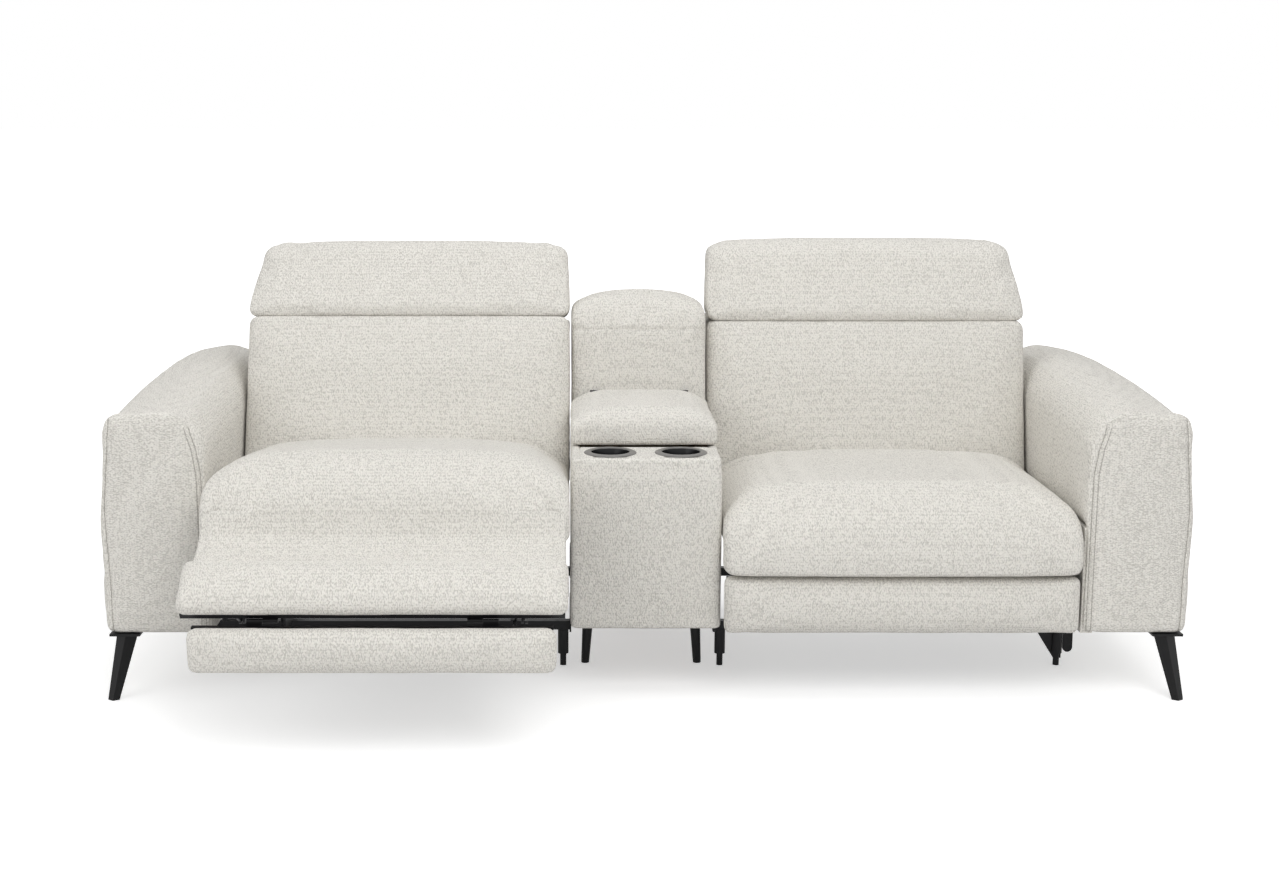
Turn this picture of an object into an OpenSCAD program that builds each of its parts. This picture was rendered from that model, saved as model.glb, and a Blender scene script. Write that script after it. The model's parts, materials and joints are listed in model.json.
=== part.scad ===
// Two seat reclining sofa with a fixed centre console.
// +X is to the viewer's right, +Y to the back and +Z up, in millimetres.
// Side outlines are written as [forward, up] from the plane of the arm fronts.

/* [Overall] */
// Width over both arms
sofa_w = 2300; // [2100:10:2500]
// Width of one arm
arm_w = 236; // [210:2:260]
// Depth of one arm
arm_d = 915; // [880:5:960]
// Height of the arm at its front edge
arm_h = 600; // [570:5:640]
// Rise of the arm from front to back
arm_rise = 24; // [0:2:50]
// How far the arm's top falls from the seat's side to the outer side
arm_fall = 20; // [0:2:40]
// Swell of the arm's top
arm_crown = 20; // [5:1:35]
// Height of the fabric's lower edge over the floor
skirt_z = 146; // [132:2:160]
// Width of the centre console
console_w = 314; // [290:2:340]
// Gap between a moving seat and its neighbours
seat_gap = 6; // [3:0.5:9]

/* [Pose at rest] */
// How far the left seat stands open, from shut to fully open
left_open_share = 0.65; // [0:0.05:1]
// How far the right seat stands open
right_open_share = 0; // [0:0.05:1]
// Extra lean of the left back at rest, in degrees
left_recline = 3; // [0:1:20]

/* [Seat] */
// Height of the seat's side edge
seat_h = 418; // [400:2:440]
// Swell of the seat at its middle
seat_crown = 44; // [20:2:60]
// Depth of the seat cushion behind the arm fronts
seat_d = 515; // [490:5:530]
// How far the cushion's front stands ahead of the arm fronts
seat_nose = 14; // [5:1:25]
// Depth of the roll that hangs at the cushion's front
roll_d = 60; // [50:1:70]
// Height of the roll's lower edge
roll_z = 274; // [272:1:280]
// Height of the underside of the seat frame
frame_z = 304; // [303:1:310]
// Height of the seat frame's rails
rail_h = 25; // [20:1:30]

/* [Back] */
// Forward place of the back cushion's lower front edge
back_front = -518; // [-530:1:-517]
// Height of the back cushion's underside
back_z = 342; // [338:1:350]
// Height of the seam between back and headrest
headrest_z = 736; // [715:1:760]
// Lean of the back's front face between its two ends
back_lean = 84; // [60:2:100]
// Thickness of the back cushion at its foot
back_t = 168; // [150:2:190]
// Thickness of the back cushion at its top
back_top_t = 142; // [125:2:155]
// Height of the headrest
headrest_h = 182; // [160:2:200]
// Lean of the headrest
headrest_lean = 76; // [50:2:100]
// Thickness of the headrest cushion at its foot
headrest_t = 120; // [105:1:130]
// Swell of the back cushions at their middle
back_crown = 22; // [8:1:30]
// Thickness of the board behind the back cushion
back_board_t = 20; // [16:1:24]
// Thickness of the rear cover
rear_pad_t = 20; // [14:1:24]

/* [Footrest] */
// Height of the main footrest pad when shut
pad_h = 122; // [116:1:124]
// Thickness of a footrest pad
pad_t = 33; // [28:1:36]
// Thickness of a footrest board
board_t = 12; // [9:1:14]
// Distance of the flap's sides inside the seat's sides
flap_in = 22.5; // [10:0.5:40]
// Height of the flap pad
flap_h = 88; // [76:1:90]

/* [Console] */
// Distance of the console's face behind the arm fronts
console_set = 45; // [35:1:60]
// Height of the deck that holds the cups
deck_z = 515; // [505:1:525]
// Thickness of the deck board
deck_t = 12; // [9:1:15]
// Distance of the lid's face behind the arm fronts
lid_set = 184; // [180:1:200]
// Depth of the lid
lid_d = 331; // [320:1:336]
// Height of the lid's pad at its edge
lid_h = 60; // [50:1:70]
// Swell of the lid's pad
lid_crown = 12; // [4:1:18]
// Height of the console's back at its top
console_back_z = 808; // [760:2:820]
// Distance between the cup holders
cup_pitch = 150; // [142:1:156]
// Radius of a cup holder's bore
cup_r = 40; // [36:0.5:42]
// Outer radius of a cup holder's rim
cup_rim_r = 56; // [50:0.5:58]
// Depth of a cup holder
cup_depth = 72; // [55:1:90]
// Distance of the cup holders behind the arm fronts
cup_set = 112; // [109:1:116]

/* [Mechanism] */
// Distance of a carriage plate's middle inside its bay
plate_in = 114.5; // [104:0.5:128]
// Step from one layer of links to the next
layer_step = 8; // [7.5:0.1:8.5]
// Thickness of plates and links
plate_t = 5; // [4:0.1:6]
// Radius of the eye at a link's end
eye_r = 11; // [9:0.5:12]
// Width of a link between its eyes
link_w = 15; // [12:0.5:17]
// Radius of a pivot pin
pin_r = 5; // [4:0.1:5.5]
// Length of the rear swing link between its pins
rear_link = 185; // [175:1:195]
// Length of the front swing link between its pins
front_link = 188; // [180:1:195]
// Half the length of a scissor link between its pins
half_link = 94; // [90:1:96]

/* [Drive] */
// Radius of the shaft that turns the scissor links
shaft_r = 10; // [8:0.5:12]
// Distance from the shaft's axis to the drive rail's axis
lever_drop = 55; // [48:1:60]
// Radius of the drive rail
rail_r = 8; // [6:0.5:10]

/* [Legs] */
// Half the width of an arm leg at its top
leg_top_r = 22; // [16:1:26]
// Half the width of an arm leg at its foot
leg_foot_r = 12; // [9:0.5:14]
// Sideways splay of an arm leg
leg_splay = 30; // [10:1:40]
// Splay of an arm leg along the arm
leg_along = 24; // [10:1:30]

/* [Hidden] */
$fn = 48;

// Clearances and overruns
over = 1;
soft_gap = 0.3;
pin_fit = 0.05;
open_fit = 0.4;

// Seat bays
bay_w = (sofa_w - 2*arm_w - console_w)/2;
bay_x = console_w/2 + bay_w/2;
seat_w = bay_w - 2*seat_gap;
flap_w = seat_w - 2*flap_in;
plate_x = bay_w/2 - plate_in;
arm_x = sofa_w/2 - arm_w;
frame_top = frame_z + rail_h;

// Angles of the mechanism, counted as the seat opens
rear_angle = 124.5;
rear_turn = 59;
seat_tilt = 10.3;
front_angle = 135.7;
front_turn = 60;
fold_angle = 80;
spread_angle = 16;
link_turn = fold_angle - spread_angle;
axis_dip = 22;
bracket_turn = 76;
flap_turn = 180;

// Places of the pivots, with the seat shut
rear_pivot_back = 540;
rear_pivot_z = 265;
front_pivot_back = 330;
front_pivot_z = 250;
bracket_back = 115;
recline_back = 600;
recline_z = 312;
front_foot_ahead = 138;
front_foot_below = 130;
rear_top = [-rear_pivot_back, rear_pivot_z];
front_top = [-front_pivot_back, front_pivot_z];
bracket_pin = [-bracket_back, rear_pivot_z];
recline_pin = [-recline_back, recline_z];
function polar(r, a) = r*[cos(a), sin(a)];
function turned(v, a) = [v.x*cos(a) - v.y*sin(a), v.x*sin(a) + v.y*cos(a)];
rear_foot = rear_top - polar(rear_link, rear_angle);
front_foot = front_top + [front_foot_ahead, -front_foot_below];
reach_dir = polar(1, -axis_dip);
drop_dir = polar(1, -axis_dip - 90);
function reach(n, a) = n*2*half_link*cos(a)*reach_dir;
function drop(a) = 2*half_link*sin(a)*drop_dir;
shaft_pin = bracket_pin - reach(2, fold_angle);
slide_pin = shaft_pin + drop(fold_angle);
slide_end = shaft_pin + drop(spread_angle);
low_pin = slide_pin + reach(1, fold_angle);
high_pin = shaft_pin + reach(1, fold_angle);
first_cross = (shaft_pin + low_pin)/2;
second_cross = high_pin + (low_pin - shaft_pin)/2;

// Tie between the outer link and the footrest bracket
tie_along = 120;
tie_aside = -6;
tie_arm = 24;
tie_arm_angle = -120;
function tie_foot(f) = let(a = -axis_dip - fold_angle + link_turn*f, d = polar(1, a),
    top = shaft_pin + reach(1, fold_angle - link_turn*f))
    top + tie_along*d + tie_aside*turned(d, 90);
function tie_head(f) = shaft_pin + reach(2, fold_angle - link_turn*f)
    + polar(tie_arm, tie_arm_angle + bracket_turn*f);
function heading(v) = atan2(v.y, v.x);
tie_len = (norm(tie_foot(0) - tie_head(0)) + norm(tie_foot(1) - tie_head(1)))/2;
tie_angle = heading(tie_foot(0) - tie_head(0));
tie_end = heading(tie_foot(1) - tie_head(1)) - bracket_turn;
tie_turn = tie_end - tie_angle - (tie_end > tie_angle ? 360 : 0);

// Layers of the mechanism, outwards from the base plates
function layer(n) = plate_x + n*layer_step - plate_t/2;
base_layer = layer(-2);
swing_layer = layer(-1);
carriage_layer = layer(0);
slide_layer = layer(1);
drive_layer = layer(2);
tie_layer = layer(3);
bracket_layer = layer(4);

// Footrest places, with the seat shut
board_back = -pad_t - board_t;
roll_clear = 5;
pad_top = roll_z - roll_clear;
pad_z = pad_top - pad_h;
flap_pin_r = 2;
flap_knuckle_r = 4.2;
flap_gap = flap_knuckle_r + soft_gap;
flap_pin_rise = 4;
flap_hinge = [board_back - flap_gap, pad_z + flap_pin_rise];

// Shift that puts the origin under the middle of the sofa at rest
footrest_reach = 398;
origin_shift = (arm_d - footrest_reach)/2;

// Unit and path helpers
function unit(v) = v/norm(v);
function corner(a, p, b, r, m) = let(u = unit(a - p), v = unit(b - p), w = acos(u*v),
    s = p + u*r/tan(w/2), e = p + v*r/tan(w/2), c = p + unit(u + v)*r/sin(w/2),
    a0 = heading(s - c), turn = ((heading(e - c) - a0 + 540) % 360) - 180)
    [for (i = [0:m]) c + polar(r, a0 + turn*i/m)];
function rounded(pts, radii, m = 3) = let(n = len(pts)) [for (i = [0:n-1])
    each corner(pts[(i + n - 1) % n], pts[i], pts[(i + 1) % n], radii[i], m)];
function inward(path) = let(n = len(path)) [for (i = [0:n-1])
    let(t = unit(path[(i + 1) % n] - path[(i + n - 1) % n])) [-t.y, t.x]];
function column(path, i) = [for (p = path) p[i]];
function part_over(v, low, high) = max(0, (v - (low + high)/2)/((high - low)/2));

// A stuffed form: an outline carried across its width, rounded at both ends
// and swollen at its middle. rise lifts the far end over the near end. lean is
// how far the outline leans back, and tuck fades its forward swell at foot and top.
edge_steps = 3;
middle_share = [0.2, 0.5, 0.8];
edge_share = 0.85;
swell_power = 2.4;
module pillow(path, w, corner_r, heart, up = 0, fwd = 0, rise = 0, lean = 0, tuck = 0) {
    edge = edge_share*corner_r;
    n = len(path);
    turn_in = inward(path);
    zs = column(path, 1);
    function height_share(p) = (p.y - min(zs))/(max(zs) - min(zs));
    xs = [for (p = path) p.x + lean*height_share(p)];
    ends = [for (i = [0:edge_steps]) [edge*(1 - cos(90*i/edge_steps)), edge*(1 - sin(90*i/edge_steps))]];
    stations = concat(ends,
        [for (s = middle_share) [edge + (w - 2*edge)*s, 0]],
        [for (i = [edge_steps:-1:0]) [w - ends[i].x, ends[i].y]]);
    rings = len(stations);
    points = [for (s = stations)
        let(share = s.x/w, lift = 1 - pow(abs(2*share - 1), swell_power))
        for (k = [0:n-1])
            let(p = path[k] + turn_in[k]*s.y,
                top = part_over(path[k].y, min(zs), max(zs)),
                front = part_over(xs[k], min(xs), max(xs)),
                fade = 1 - tuck*pow(abs(2*height_share(path[k]) - 1), swell_power))
            [s.x - w/2, -p.x - fwd*lift*front*fade, p.y + up*lift*top + rise*share*top]];
    first_heart = [-w/2, -heart.x, heart.y];
    last_heart = [w/2, -heart.x, heart.y + rise/2];
    sides = [for (i = [0:rings-2], k = [0:n-1])
        let(a = i*n + k, b = i*n + (k + 1) % n, c = a + n, d = b + n)
        each [[a, d, c], [a, b, d]]];
    near_cap = [for (k = [0:n-1]) [rings*n, (k + 1) % n, k]];
    far_cap = [for (k = [0:n-1]) [rings*n + 1, (rings - 1)*n + k, (rings - 1)*n + (k + 1) % n]];
    polyhedron(concat(points, [first_heart, last_heart]), concat(sides, near_cap, far_cap));
}

// Plates, bars and pins, placed by a side view's [forward, up] point
module slab(x, w) {
    translate([x + w, 0, 0]) rotate([90, 0, -90]) linear_extrude(w) children();
}
// start is the side view's angle at which the round surface begins and ends
module rod(p, r, x, w, start = -90) {
    translate([x, -p.x, p.y]) rotate([0, 90, 0])
        rotate([0, 0, atan2(-cos(start), -sin(start))]) cylinder(r = r, h = w);
}
module block(low, high, x, w) {
    translate([x, -high.x, low.y]) cube([w, high.x - low.x, high.y - low.y]);
}
module swing(p, a) {
    translate([0, -p.x, p.y]) rotate([-a, 0, 0]) translate([0, p.x, -p.y]) children();
}
module both_sides() {
    children();
    mirror([1, 0, 0]) children();
}
module link_body(p, q, x) {
    d = q - p;
    rod(p, eye_r, x, plate_t, heading(-d));
    rod(q, eye_r, x, plate_t, heading(d));
    translate([x, -p.x, p.y]) rotate([-heading(d), 0, 0])
        translate([0, -norm(d), -link_w/2]) cube([plate_t, norm(d), link_w]);
}
module hole(p, r, x, start = -90) {
    rod(p, r, x - over, plate_t + 2*over, start);
}
// A pin from one layer to the far face of another
module pin(p, from, to) {
    low = min(from, to);
    rod(p, pin_r, low, abs(to - from) + plate_t);
}

// Poses of the moving bodies, each inside the one that carries it
module at_seat(left) {
    translate([left ? -bay_x : bay_x, 0, 0]) mirror([left ? 1 : 0, 0, 0]) children();
}
module ride_rear_link(f) { swing(rear_foot, -rear_turn*f) children(); }
module ride_front_link(f) { swing(front_foot, -front_turn*f) children(); }
module ride_carriage(f) { ride_rear_link(f) swing(rear_top, (rear_turn + seat_tilt)*f) children(); }
module ride_drive_link(f) { ride_carriage(f) swing(shaft_pin, link_turn*f) children(); }
module ride_slide_link(f) { ride_drive_link(f) swing(first_cross, -2*link_turn*f) children(); }
module ride_outer_link(f) { ride_slide_link(f) swing(high_pin, 2*link_turn*f) children(); }
module ride_lift_link(f) { ride_drive_link(f) swing(low_pin, -2*link_turn*f) children(); }
module ride_bracket(f) { ride_lift_link(f) swing(bracket_pin, (link_turn + bracket_turn)*f) children(); }
module ride_tie(f) { ride_bracket(f) swing(tie_head(0), tie_turn*f) children(); }
module ride_flap(f) { ride_bracket(f) swing(flap_hinge, flap_turn*f) children(); }
function nut_travel(f) = lever_drop*(tan(link_turn*(f - 0.5)) + tan(link_turn/2));
full_nut_travel = nut_travel(1);
module ride_nut(f) { ride_carriage(f) translate([0, -full_nut_travel*f, 0]) children(); }
module ride_back(f, lean) { ride_carriage(f) swing(recline_pin, lean) children(); }

// Arms
arm_board_t = 25;
arm_board_h = 226;
arm_board_inset = 20;
arm_edge = 6;
arm_step_r = 9;
arm_bulge = 19;
arm_foot_in = 8;
front_pad_t = 20;
arm_top_r = 46;
arm_soft_r = 20;
function arm_section(step) = rounded([
    [step, skirt_z], [arm_w - arm_foot_in, skirt_z], [arm_w, skirt_z + arm_w],
    [arm_w - arm_bulge, arm_h], [0, arm_h + arm_fall],
    [0, skirt_z + arm_board_h + soft_gap], [step, skirt_z + arm_board_h + soft_gap]],
    [arm_step_r, arm_soft_r, arm_w, arm_top_r, arm_top_r, arm_step_r, 2*soft_gap]);
function panel_section() = rounded([
    [0, skirt_z], [arm_w - arm_foot_in, skirt_z], [arm_w, skirt_z + arm_w],
    [arm_w - arm_bulge, arm_h + arm_crown], [0, arm_h + arm_crown]],
    [arm_soft_r, arm_soft_r, arm_w, arm_top_r, arm_top_r]);
module arm_cover() {
    body_d = arm_d - front_pad_t - soft_gap;
    heart = [arm_w/2, arm_h - arm_top_r - arm_soft_r];
    color("gainsboro") {
        translate([arm_x, front_pad_t + soft_gap + body_d/2, 0]) rotate([0, 0, 90])
            pillow(arm_section(arm_board_t + soft_gap), body_d, arm_edge, heart, arm_crown, 0, arm_rise);
        translate([arm_x, front_pad_t/2, 0]) rotate([0, 0, 90])
            pillow(panel_section(), front_pad_t, front_pad_t/4, heart);
    }
}
module arm_frames() {
    color("burlywood") both_sides()
        translate([arm_x, front_pad_t + soft_gap, skirt_z])
            cube([arm_board_t, arm_d - front_pad_t - soft_gap - arm_board_inset, arm_board_h]);
}
leg_round = 32;
leg_flange_h = 5;
leg_flange_w = 64;
front_leg_y = 42;
rear_leg_in = 65;
arm_leg_in = 54;
leg_ridge_share = 0.7;
leg_foot_h = 3;
// A tapered blade with a ridge down its face, which stands out to the side and along the arm
module blade(half_w) {
    polygon([[half_w, 0], [0, leg_ridge_share*half_w], [-half_w, 0], [0, -leg_ridge_share*half_w]]);
}
module arm_leg(along) {
    translate([-leg_flange_w/2, -leg_flange_w/2, skirt_z - leg_flange_h])
        cube([leg_flange_w, leg_flange_w, leg_flange_h]);
    hull() {
        translate([0, 0, skirt_z - leg_flange_h]) linear_extrude(leg_flange_h) blade(leg_top_r);
        translate([leg_splay, along, 0]) linear_extrude(leg_foot_h) blade(leg_foot_r);
    }
}
module arm_legs() {
    color("dimgray") both_sides() {
        translate([sofa_w/2 - arm_leg_in, front_leg_y, 0]) arm_leg(-leg_along);
        translate([sofa_w/2 - arm_leg_in, arm_d - rear_leg_in, 0]) arm_leg(leg_along);
    }
}

// Console
console_wall = 12;
cover_t = 16;
console_edge = 14;
console_d = 800;
cover_round = 14;
bin_lip = 6;
bin_back_in = 10;
bin_front = -lid_set - bin_lip;
bin_back = -lid_set - lid_d + bin_back_in;
bin_z = 300;
inner_w = console_w - 2*cover_t - 2*soft_gap;
face_t = 22;
deck_front = -console_set - face_t - soft_gap;
side_section = [[deck_front, skirt_z], [deck_front, deck_z - soft_gap],
    [bin_back - console_wall, deck_z - soft_gap], [-console_d, deck_z - soft_gap], [-console_d, skirt_z]];
module console_cover() {
    color("gainsboro") {
        pillow(rounded([[deck_front + soft_gap, skirt_z], [-console_set, skirt_z],
            [-console_set, deck_z], [deck_front + soft_gap, deck_z]],
            [console_edge/2, console_edge/2, cover_round, console_edge/2]), console_w, console_edge/2,
            [-console_set - face_t/2, (skirt_z + deck_z)/2]);
        both_sides() slab(console_w/2 - cover_t, cover_t) polygon(side_section);
    }
}
module console_frame() {
    x = inner_w/2;
    top = deck_z - deck_t - soft_gap;
    color("burlywood") {
        both_sides() block([-console_d, skirt_z], [deck_front, top], x - console_wall, console_wall);
        block([bin_back, bin_z], [bin_front, bin_z + console_wall], -x + console_wall, 2*x - 2*console_wall);
        block([bin_front, skirt_z], [bin_front + console_wall, top], -x + console_wall, 2*x - 2*console_wall);
        block([bin_back - console_wall, skirt_z], [bin_back, top], -x + console_wall, 2*x - 2*console_wall);
        block([-console_d, skirt_z], [-console_d + console_wall, top],
            -x + console_wall, 2*(x - console_wall));
    }
}
cup_wall = 1.5;
cup_rim_h = 4;
cup_gap = 0.3;
cup_x = cup_pitch/2;
module console_deck() {
    low = [-lid_set + soft_gap, deck_z - deck_t];
    color("gainsboro") {
        difference() {
            block(low, [deck_front, deck_z], -inner_w/2, inner_w);
            for (x = [-cup_x, cup_x]) translate([x, cup_set, deck_z - deck_t - over])
                cylinder(r = cup_r + cup_wall + cup_gap, h = deck_t + 2*over);
        }
        block([-console_d, deck_z - deck_t], [bin_back - console_wall/2, deck_z], -inner_w/2, inner_w);
    }
}
module cup_holder() {
    difference() {
        union() {
            translate([0, 0, deck_z - cup_depth]) cylinder(r = cup_r + cup_wall, h = cup_depth);
            translate([0, 0, deck_z]) cylinder(r = cup_rim_r, h = cup_rim_h);
        }
        translate([0, 0, deck_z - cup_depth + cup_wall]) cylinder(r = cup_r, h = cup_depth + cup_rim_h + over);
    }
}
module cup_holders() {
    color("gray") for (x = [-cup_x, cup_x]) translate([x, cup_set, 0]) cup_holder();
}
lid_over = 3;
lid_edge = 16;
lid_round = 26;
lid_board_t = 9;
lid_board_in = 4;
lid_board_z = deck_z + soft_gap;
lid_z = lid_board_z + lid_board_t;
lid_back = -lid_set - lid_d;
leaf_t = 2.5;
knuckle_r = 5;
lid_leaf_w = 44;
lid_leaf_x = 70;
lid_axis_gap = 1;
lid_axis_drop = 4;
lid_hinge_axis = [lid_back - 2*leaf_t - lid_axis_gap, lid_z + lid_h - lid_axis_drop];
lid_pin_r = 2.5;
module console_lid_board() {
    leaf = lid_back - soft_gap;
    board = console_w/2 - lid_board_in;
    half = lid_leaf_w/2 - soft_gap;
    leaf_top = lid_hinge_axis.y - knuckle_r - lid_board_in;
    color("burlywood")
        block([lid_back + lid_edge, lid_board_z], [-lid_set - lid_edge, lid_z], -board, 2*board);
    color("dimgray") both_sides() {
        block([leaf - leaf_t, lid_board_z], [leaf, leaf_top], lid_leaf_x, lid_leaf_w);
        block([leaf - leaf_t, lid_board_z], [leaf, lid_hinge_axis.y], lid_leaf_x, half);
        block([leaf - leaf_t, lid_board_z], [lid_back + lid_edge, lid_board_z + leaf_t],
            lid_leaf_x, lid_leaf_w);
        difference() {
            union() {
                rod(lid_hinge_axis, knuckle_r, lid_leaf_x, half);
                block([lid_hinge_axis.x, lid_hinge_axis.y - knuckle_r], [leaf, lid_hinge_axis.y],
                    lid_leaf_x, half);
            }
            rod(lid_hinge_axis, lid_pin_r + pin_fit, lid_leaf_x - over, lid_leaf_w/2 + 2*over);
        }
    }
}
module console_lid_cushion() {
    w = console_w + 2*lid_over;
    top = lid_z + lid_h;
    color("gainsboro") pillow(rounded([[lid_back, lid_z], [-lid_set, lid_z], [-lid_set, top], [lid_back, top]],
        [lid_edge/2, lid_edge/2, lid_round, lid_round]), w, lid_edge/2,
        [-lid_set - lid_d/2, lid_z + lid_h/2], up = lid_crown);
}
module console_lid_hinges() {
    back = console_back_front + soft_gap;
    x = lid_leaf_x + lid_leaf_w/2 + soft_gap;
    half = lid_leaf_w/2 - 2*soft_gap;
    color("dimgray") both_sides() {
        rod(lid_hinge_axis, lid_pin_r, lid_leaf_x, lid_leaf_w - soft_gap);
        rod(lid_hinge_axis, knuckle_r, x, half);
        block([back, deck_z], [back + leaf_t, lid_hinge_axis.y], x, half);
        block([back, lid_hinge_axis.y - knuckle_r], [lid_hinge_axis.x, lid_hinge_axis.y], x, half);
    }
}
leaf_clear = 2;
console_back_front = lid_hinge_axis.x - knuckle_r - leaf_clear;
console_back_lean = 34;
console_back_t = 190;
console_back_top_t = 150;
console_back_round = 44;
console_back_gap = 3;
module console_back_cushion() {
    w = console_w - 2*console_back_gap;
    top = console_back_z - back_crown;
    foot = deck_z + soft_gap;
    rear = console_back_front - console_back_t;
    rear_top = top - rear_pad_t;
    color("gainsboro") {
        pillow(rounded([[rear, foot], [console_back_front, foot],
            [console_back_front - console_back_lean, top],
            [console_back_front - console_back_lean - console_back_top_t, top]],
            [lid_edge, lid_edge, console_back_round, console_back_round]), w, lid_edge,
            [console_back_front - console_back_t/2, (foot + top)/2], up = back_crown);
        pillow(rounded([[-console_d - rear_pad_t, skirt_z], [-console_d - soft_gap, skirt_z],
            [-console_d - soft_gap, rear_top], [-console_d - rear_pad_t, rear_top]],
            [rear_pad_t/4, rear_pad_t/4, rear_pad_t/4, rear_pad_t/4]), w, rear_pad_t/4,
            [-console_d - rear_pad_t/2, (skirt_z + rear_top)/2]);
    }
}
console_back_board_w = 240;
module console_back_frame() {
    rear = console_back_front - console_back_t - soft_gap;
    color("burlywood") block([-console_d, deck_z], [rear, console_back_z - back_crown - console_back_round],
        -console_back_board_w/2, console_back_board_w);
}
console_leg_x = 118;
console_leg_in = 292;
console_leg_rear = 760;
console_leg_top_r = 13;
console_leg_foot_r = 9;
console_leg_splay = 8;
module console_legs() {
    color("dimgray") both_sides() for (y = [console_leg_in, console_leg_rear])
    translate([console_leg_x, y, 0]) {
        translate([-leg_flange_w/4, -leg_flange_w/4, skirt_z - leg_flange_h])
            cube([leg_flange_w/2, leg_flange_w/2, leg_flange_h]);
        hull() {
            translate([0, 0, skirt_z - 2*leg_flange_h])
                cylinder(r = console_leg_top_r, h = leg_flange_h, $fn = leg_round);
            translate([console_leg_splay, 0, 0])
                cylinder(r = console_leg_foot_r, h = leg_flange_h, $fn = leg_round);
        }
    }
}

// Base of a seat: two plates on two cross tubes, four feet and the tabs that join its neighbours
base_z = 84;
base_plate_h = 50;
base_front = -168;
base_back = -792;
tube_w = 20;
front_tube = -282;
rear_tube = -765;
tab_t = 4;
tab_w = 40;
inner_foot_in = 18.5;
outer_foot_out = 17.5;
inner_foot_x = bay_w/2 - inner_foot_in;
outer_foot_x = bay_w/2 + outer_foot_out;
foot_r = 12;
foot_stem_r = 7;
foot_stem_h = 28;
gusset_w = 50;
gusset_h = 68;
hook_w = 22;
hook_gap = 3;
hook_z = 30;
module base_frame() {
    tube_end = outer_foot_x + tube_w/2;
    inner_end = bay_w/2 - tab_t - soft_gap;
    color("dimgray") {
        both_sides() {
            block([base_back, base_z + tube_w], [base_front, base_z + base_plate_h], base_layer, plate_t);
            pin(rear_foot, base_layer, swing_layer);
            pin(front_foot, base_layer, swing_layer);
        }
        for (y = [front_tube, rear_tube]) {
            block([y, base_z], [y + tube_w, base_z + tube_w], -inner_end, inner_end + tube_end);
            block([y, base_z], [y + tab_w, base_z + 2*tab_w], -inner_end - tab_t, tab_t);
            block([y, base_z + tube_w], [y + tab_w/2, skirt_z], outer_foot_x - tab_t, 2*tab_t);
            for (x = [-inner_foot_x, outer_foot_x]) {
                translate([x, -y - tube_w/2, foot_stem_h]) cylinder(r = foot_r, h = base_z - foot_stem_h);
                translate([x, -y - tube_w/2, 0]) cylinder(r = foot_stem_r, h = foot_stem_h);
            }
        }
        translate([0, -front_tube - tube_w/2 + tab_t/2, 0]) rotate([90, 0, 0]) linear_extrude(tab_t) {
            polygon([[outer_foot_x - gusset_w, base_z + tube_w], [outer_foot_x - gusset_w, base_z],
                [outer_foot_x - foot_stem_r, base_z - gusset_h], [tube_end, base_z - gusset_h],
                [tube_end, base_z + tube_w]]);
            translate([tube_end - over, base_z]) square([over + hook_gap + hook_w, tube_w]);
            translate([tube_end + hook_gap, hook_z + hook_w/2]) square([hook_w, base_z + tube_w/2 - hook_z]);
            translate([tube_end + hook_gap + hook_w/2, hook_z + hook_w/2]) circle(d = hook_w);
        }
    }
}
module rear_swing_links(f) {
    color("dimgray") both_sides() ride_rear_link(f) {
        difference() {
            link_body(rear_foot, rear_top, swing_layer);
            hole(rear_foot, pin_r + pin_fit, swing_layer);
        }
        pin(rear_top, swing_layer, carriage_layer);
    }
}
front_top_play = 4.5;
module front_swing_links(f) {
    top = front_foot + polar(front_link, front_angle);
    color("dimgray") both_sides() ride_front_link(f) {
        difference() {
            link_body(front_foot, top, swing_layer);
            hole(front_foot, pin_r + pin_fit, swing_layer);
        }
        pin(top, swing_layer, carriage_layer);
    }
}

// Carriage that carries the seat, the back and the footrest linkage
carriage_tube = 20;
mid_tube = -475;
back_tube = -575;
plate_front = -66;
plate_rib = 16;
slot_wall = 14;
plate_rear = recline_pin.x - plate_rib;
top_rail = frame_z - soft_gap;
module carriage_plate() {
    difference() {
        union() {
            slab(carriage_layer, plate_t) polygon([
                [plate_rear, top_rail - carriage_tube], [rear_top.x, rear_top.y - plate_rib],
                [front_top.x, front_top.y - plate_rib - slot_wall/2],
                slide_pin + [-slot_wall, -slot_wall], slide_pin + [slot_wall, -slot_wall],
                [shaft_pin.x + plate_rib, shaft_pin.y - plate_rib], [plate_front, top_rail - plate_rib/2],
                [plate_front, top_rail], [plate_rear, top_rail]]);
            rod(recline_pin, plate_rib, carriage_layer, plate_t, 90);
        }
        hole(rear_top, pin_r + pin_fit, carriage_layer);
        hole(front_top, pin_r + front_top_play, carriage_layer);
        hole(shaft_pin, shaft_r + pin_fit, carriage_layer);
        hole(recline_pin, pin_r + pin_fit, carriage_layer);
        slide_r = pin_r + open_fit;
        run = norm(slide_end - slide_pin);
        along = heading(slide_end - slide_pin);
        hole(slide_pin, slide_r, carriage_layer, along + 180);
        hole(slide_end, slide_r, carriage_layer, along);
        translate([carriage_layer - over, -slide_pin.x, slide_pin.y]) rotate([-along, 0, 0])
            translate([0, -run, -slide_r]) cube([plate_t + 2*over, run, 2*slide_r]);
    }
}
module carriage(f) {
    color("dimgray") ride_carriage(f) {
        both_sides() carriage_plate();
        for (y = [mid_tube, back_tube])
            block([y, top_rail - carriage_tube], [y + carriage_tube, top_rail],
                -carriage_layer, 2*carriage_layer);
    }
}
frame_rail_t = 25;
roll_back_gap = 8;
frame_back_in = 25;
frame_side_in = 12;
frame_front = -roll_d + seat_nose - roll_back_gap;
frame_back = -seat_d + frame_back_in;
frame_half = seat_w/2 - frame_side_in;
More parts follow.
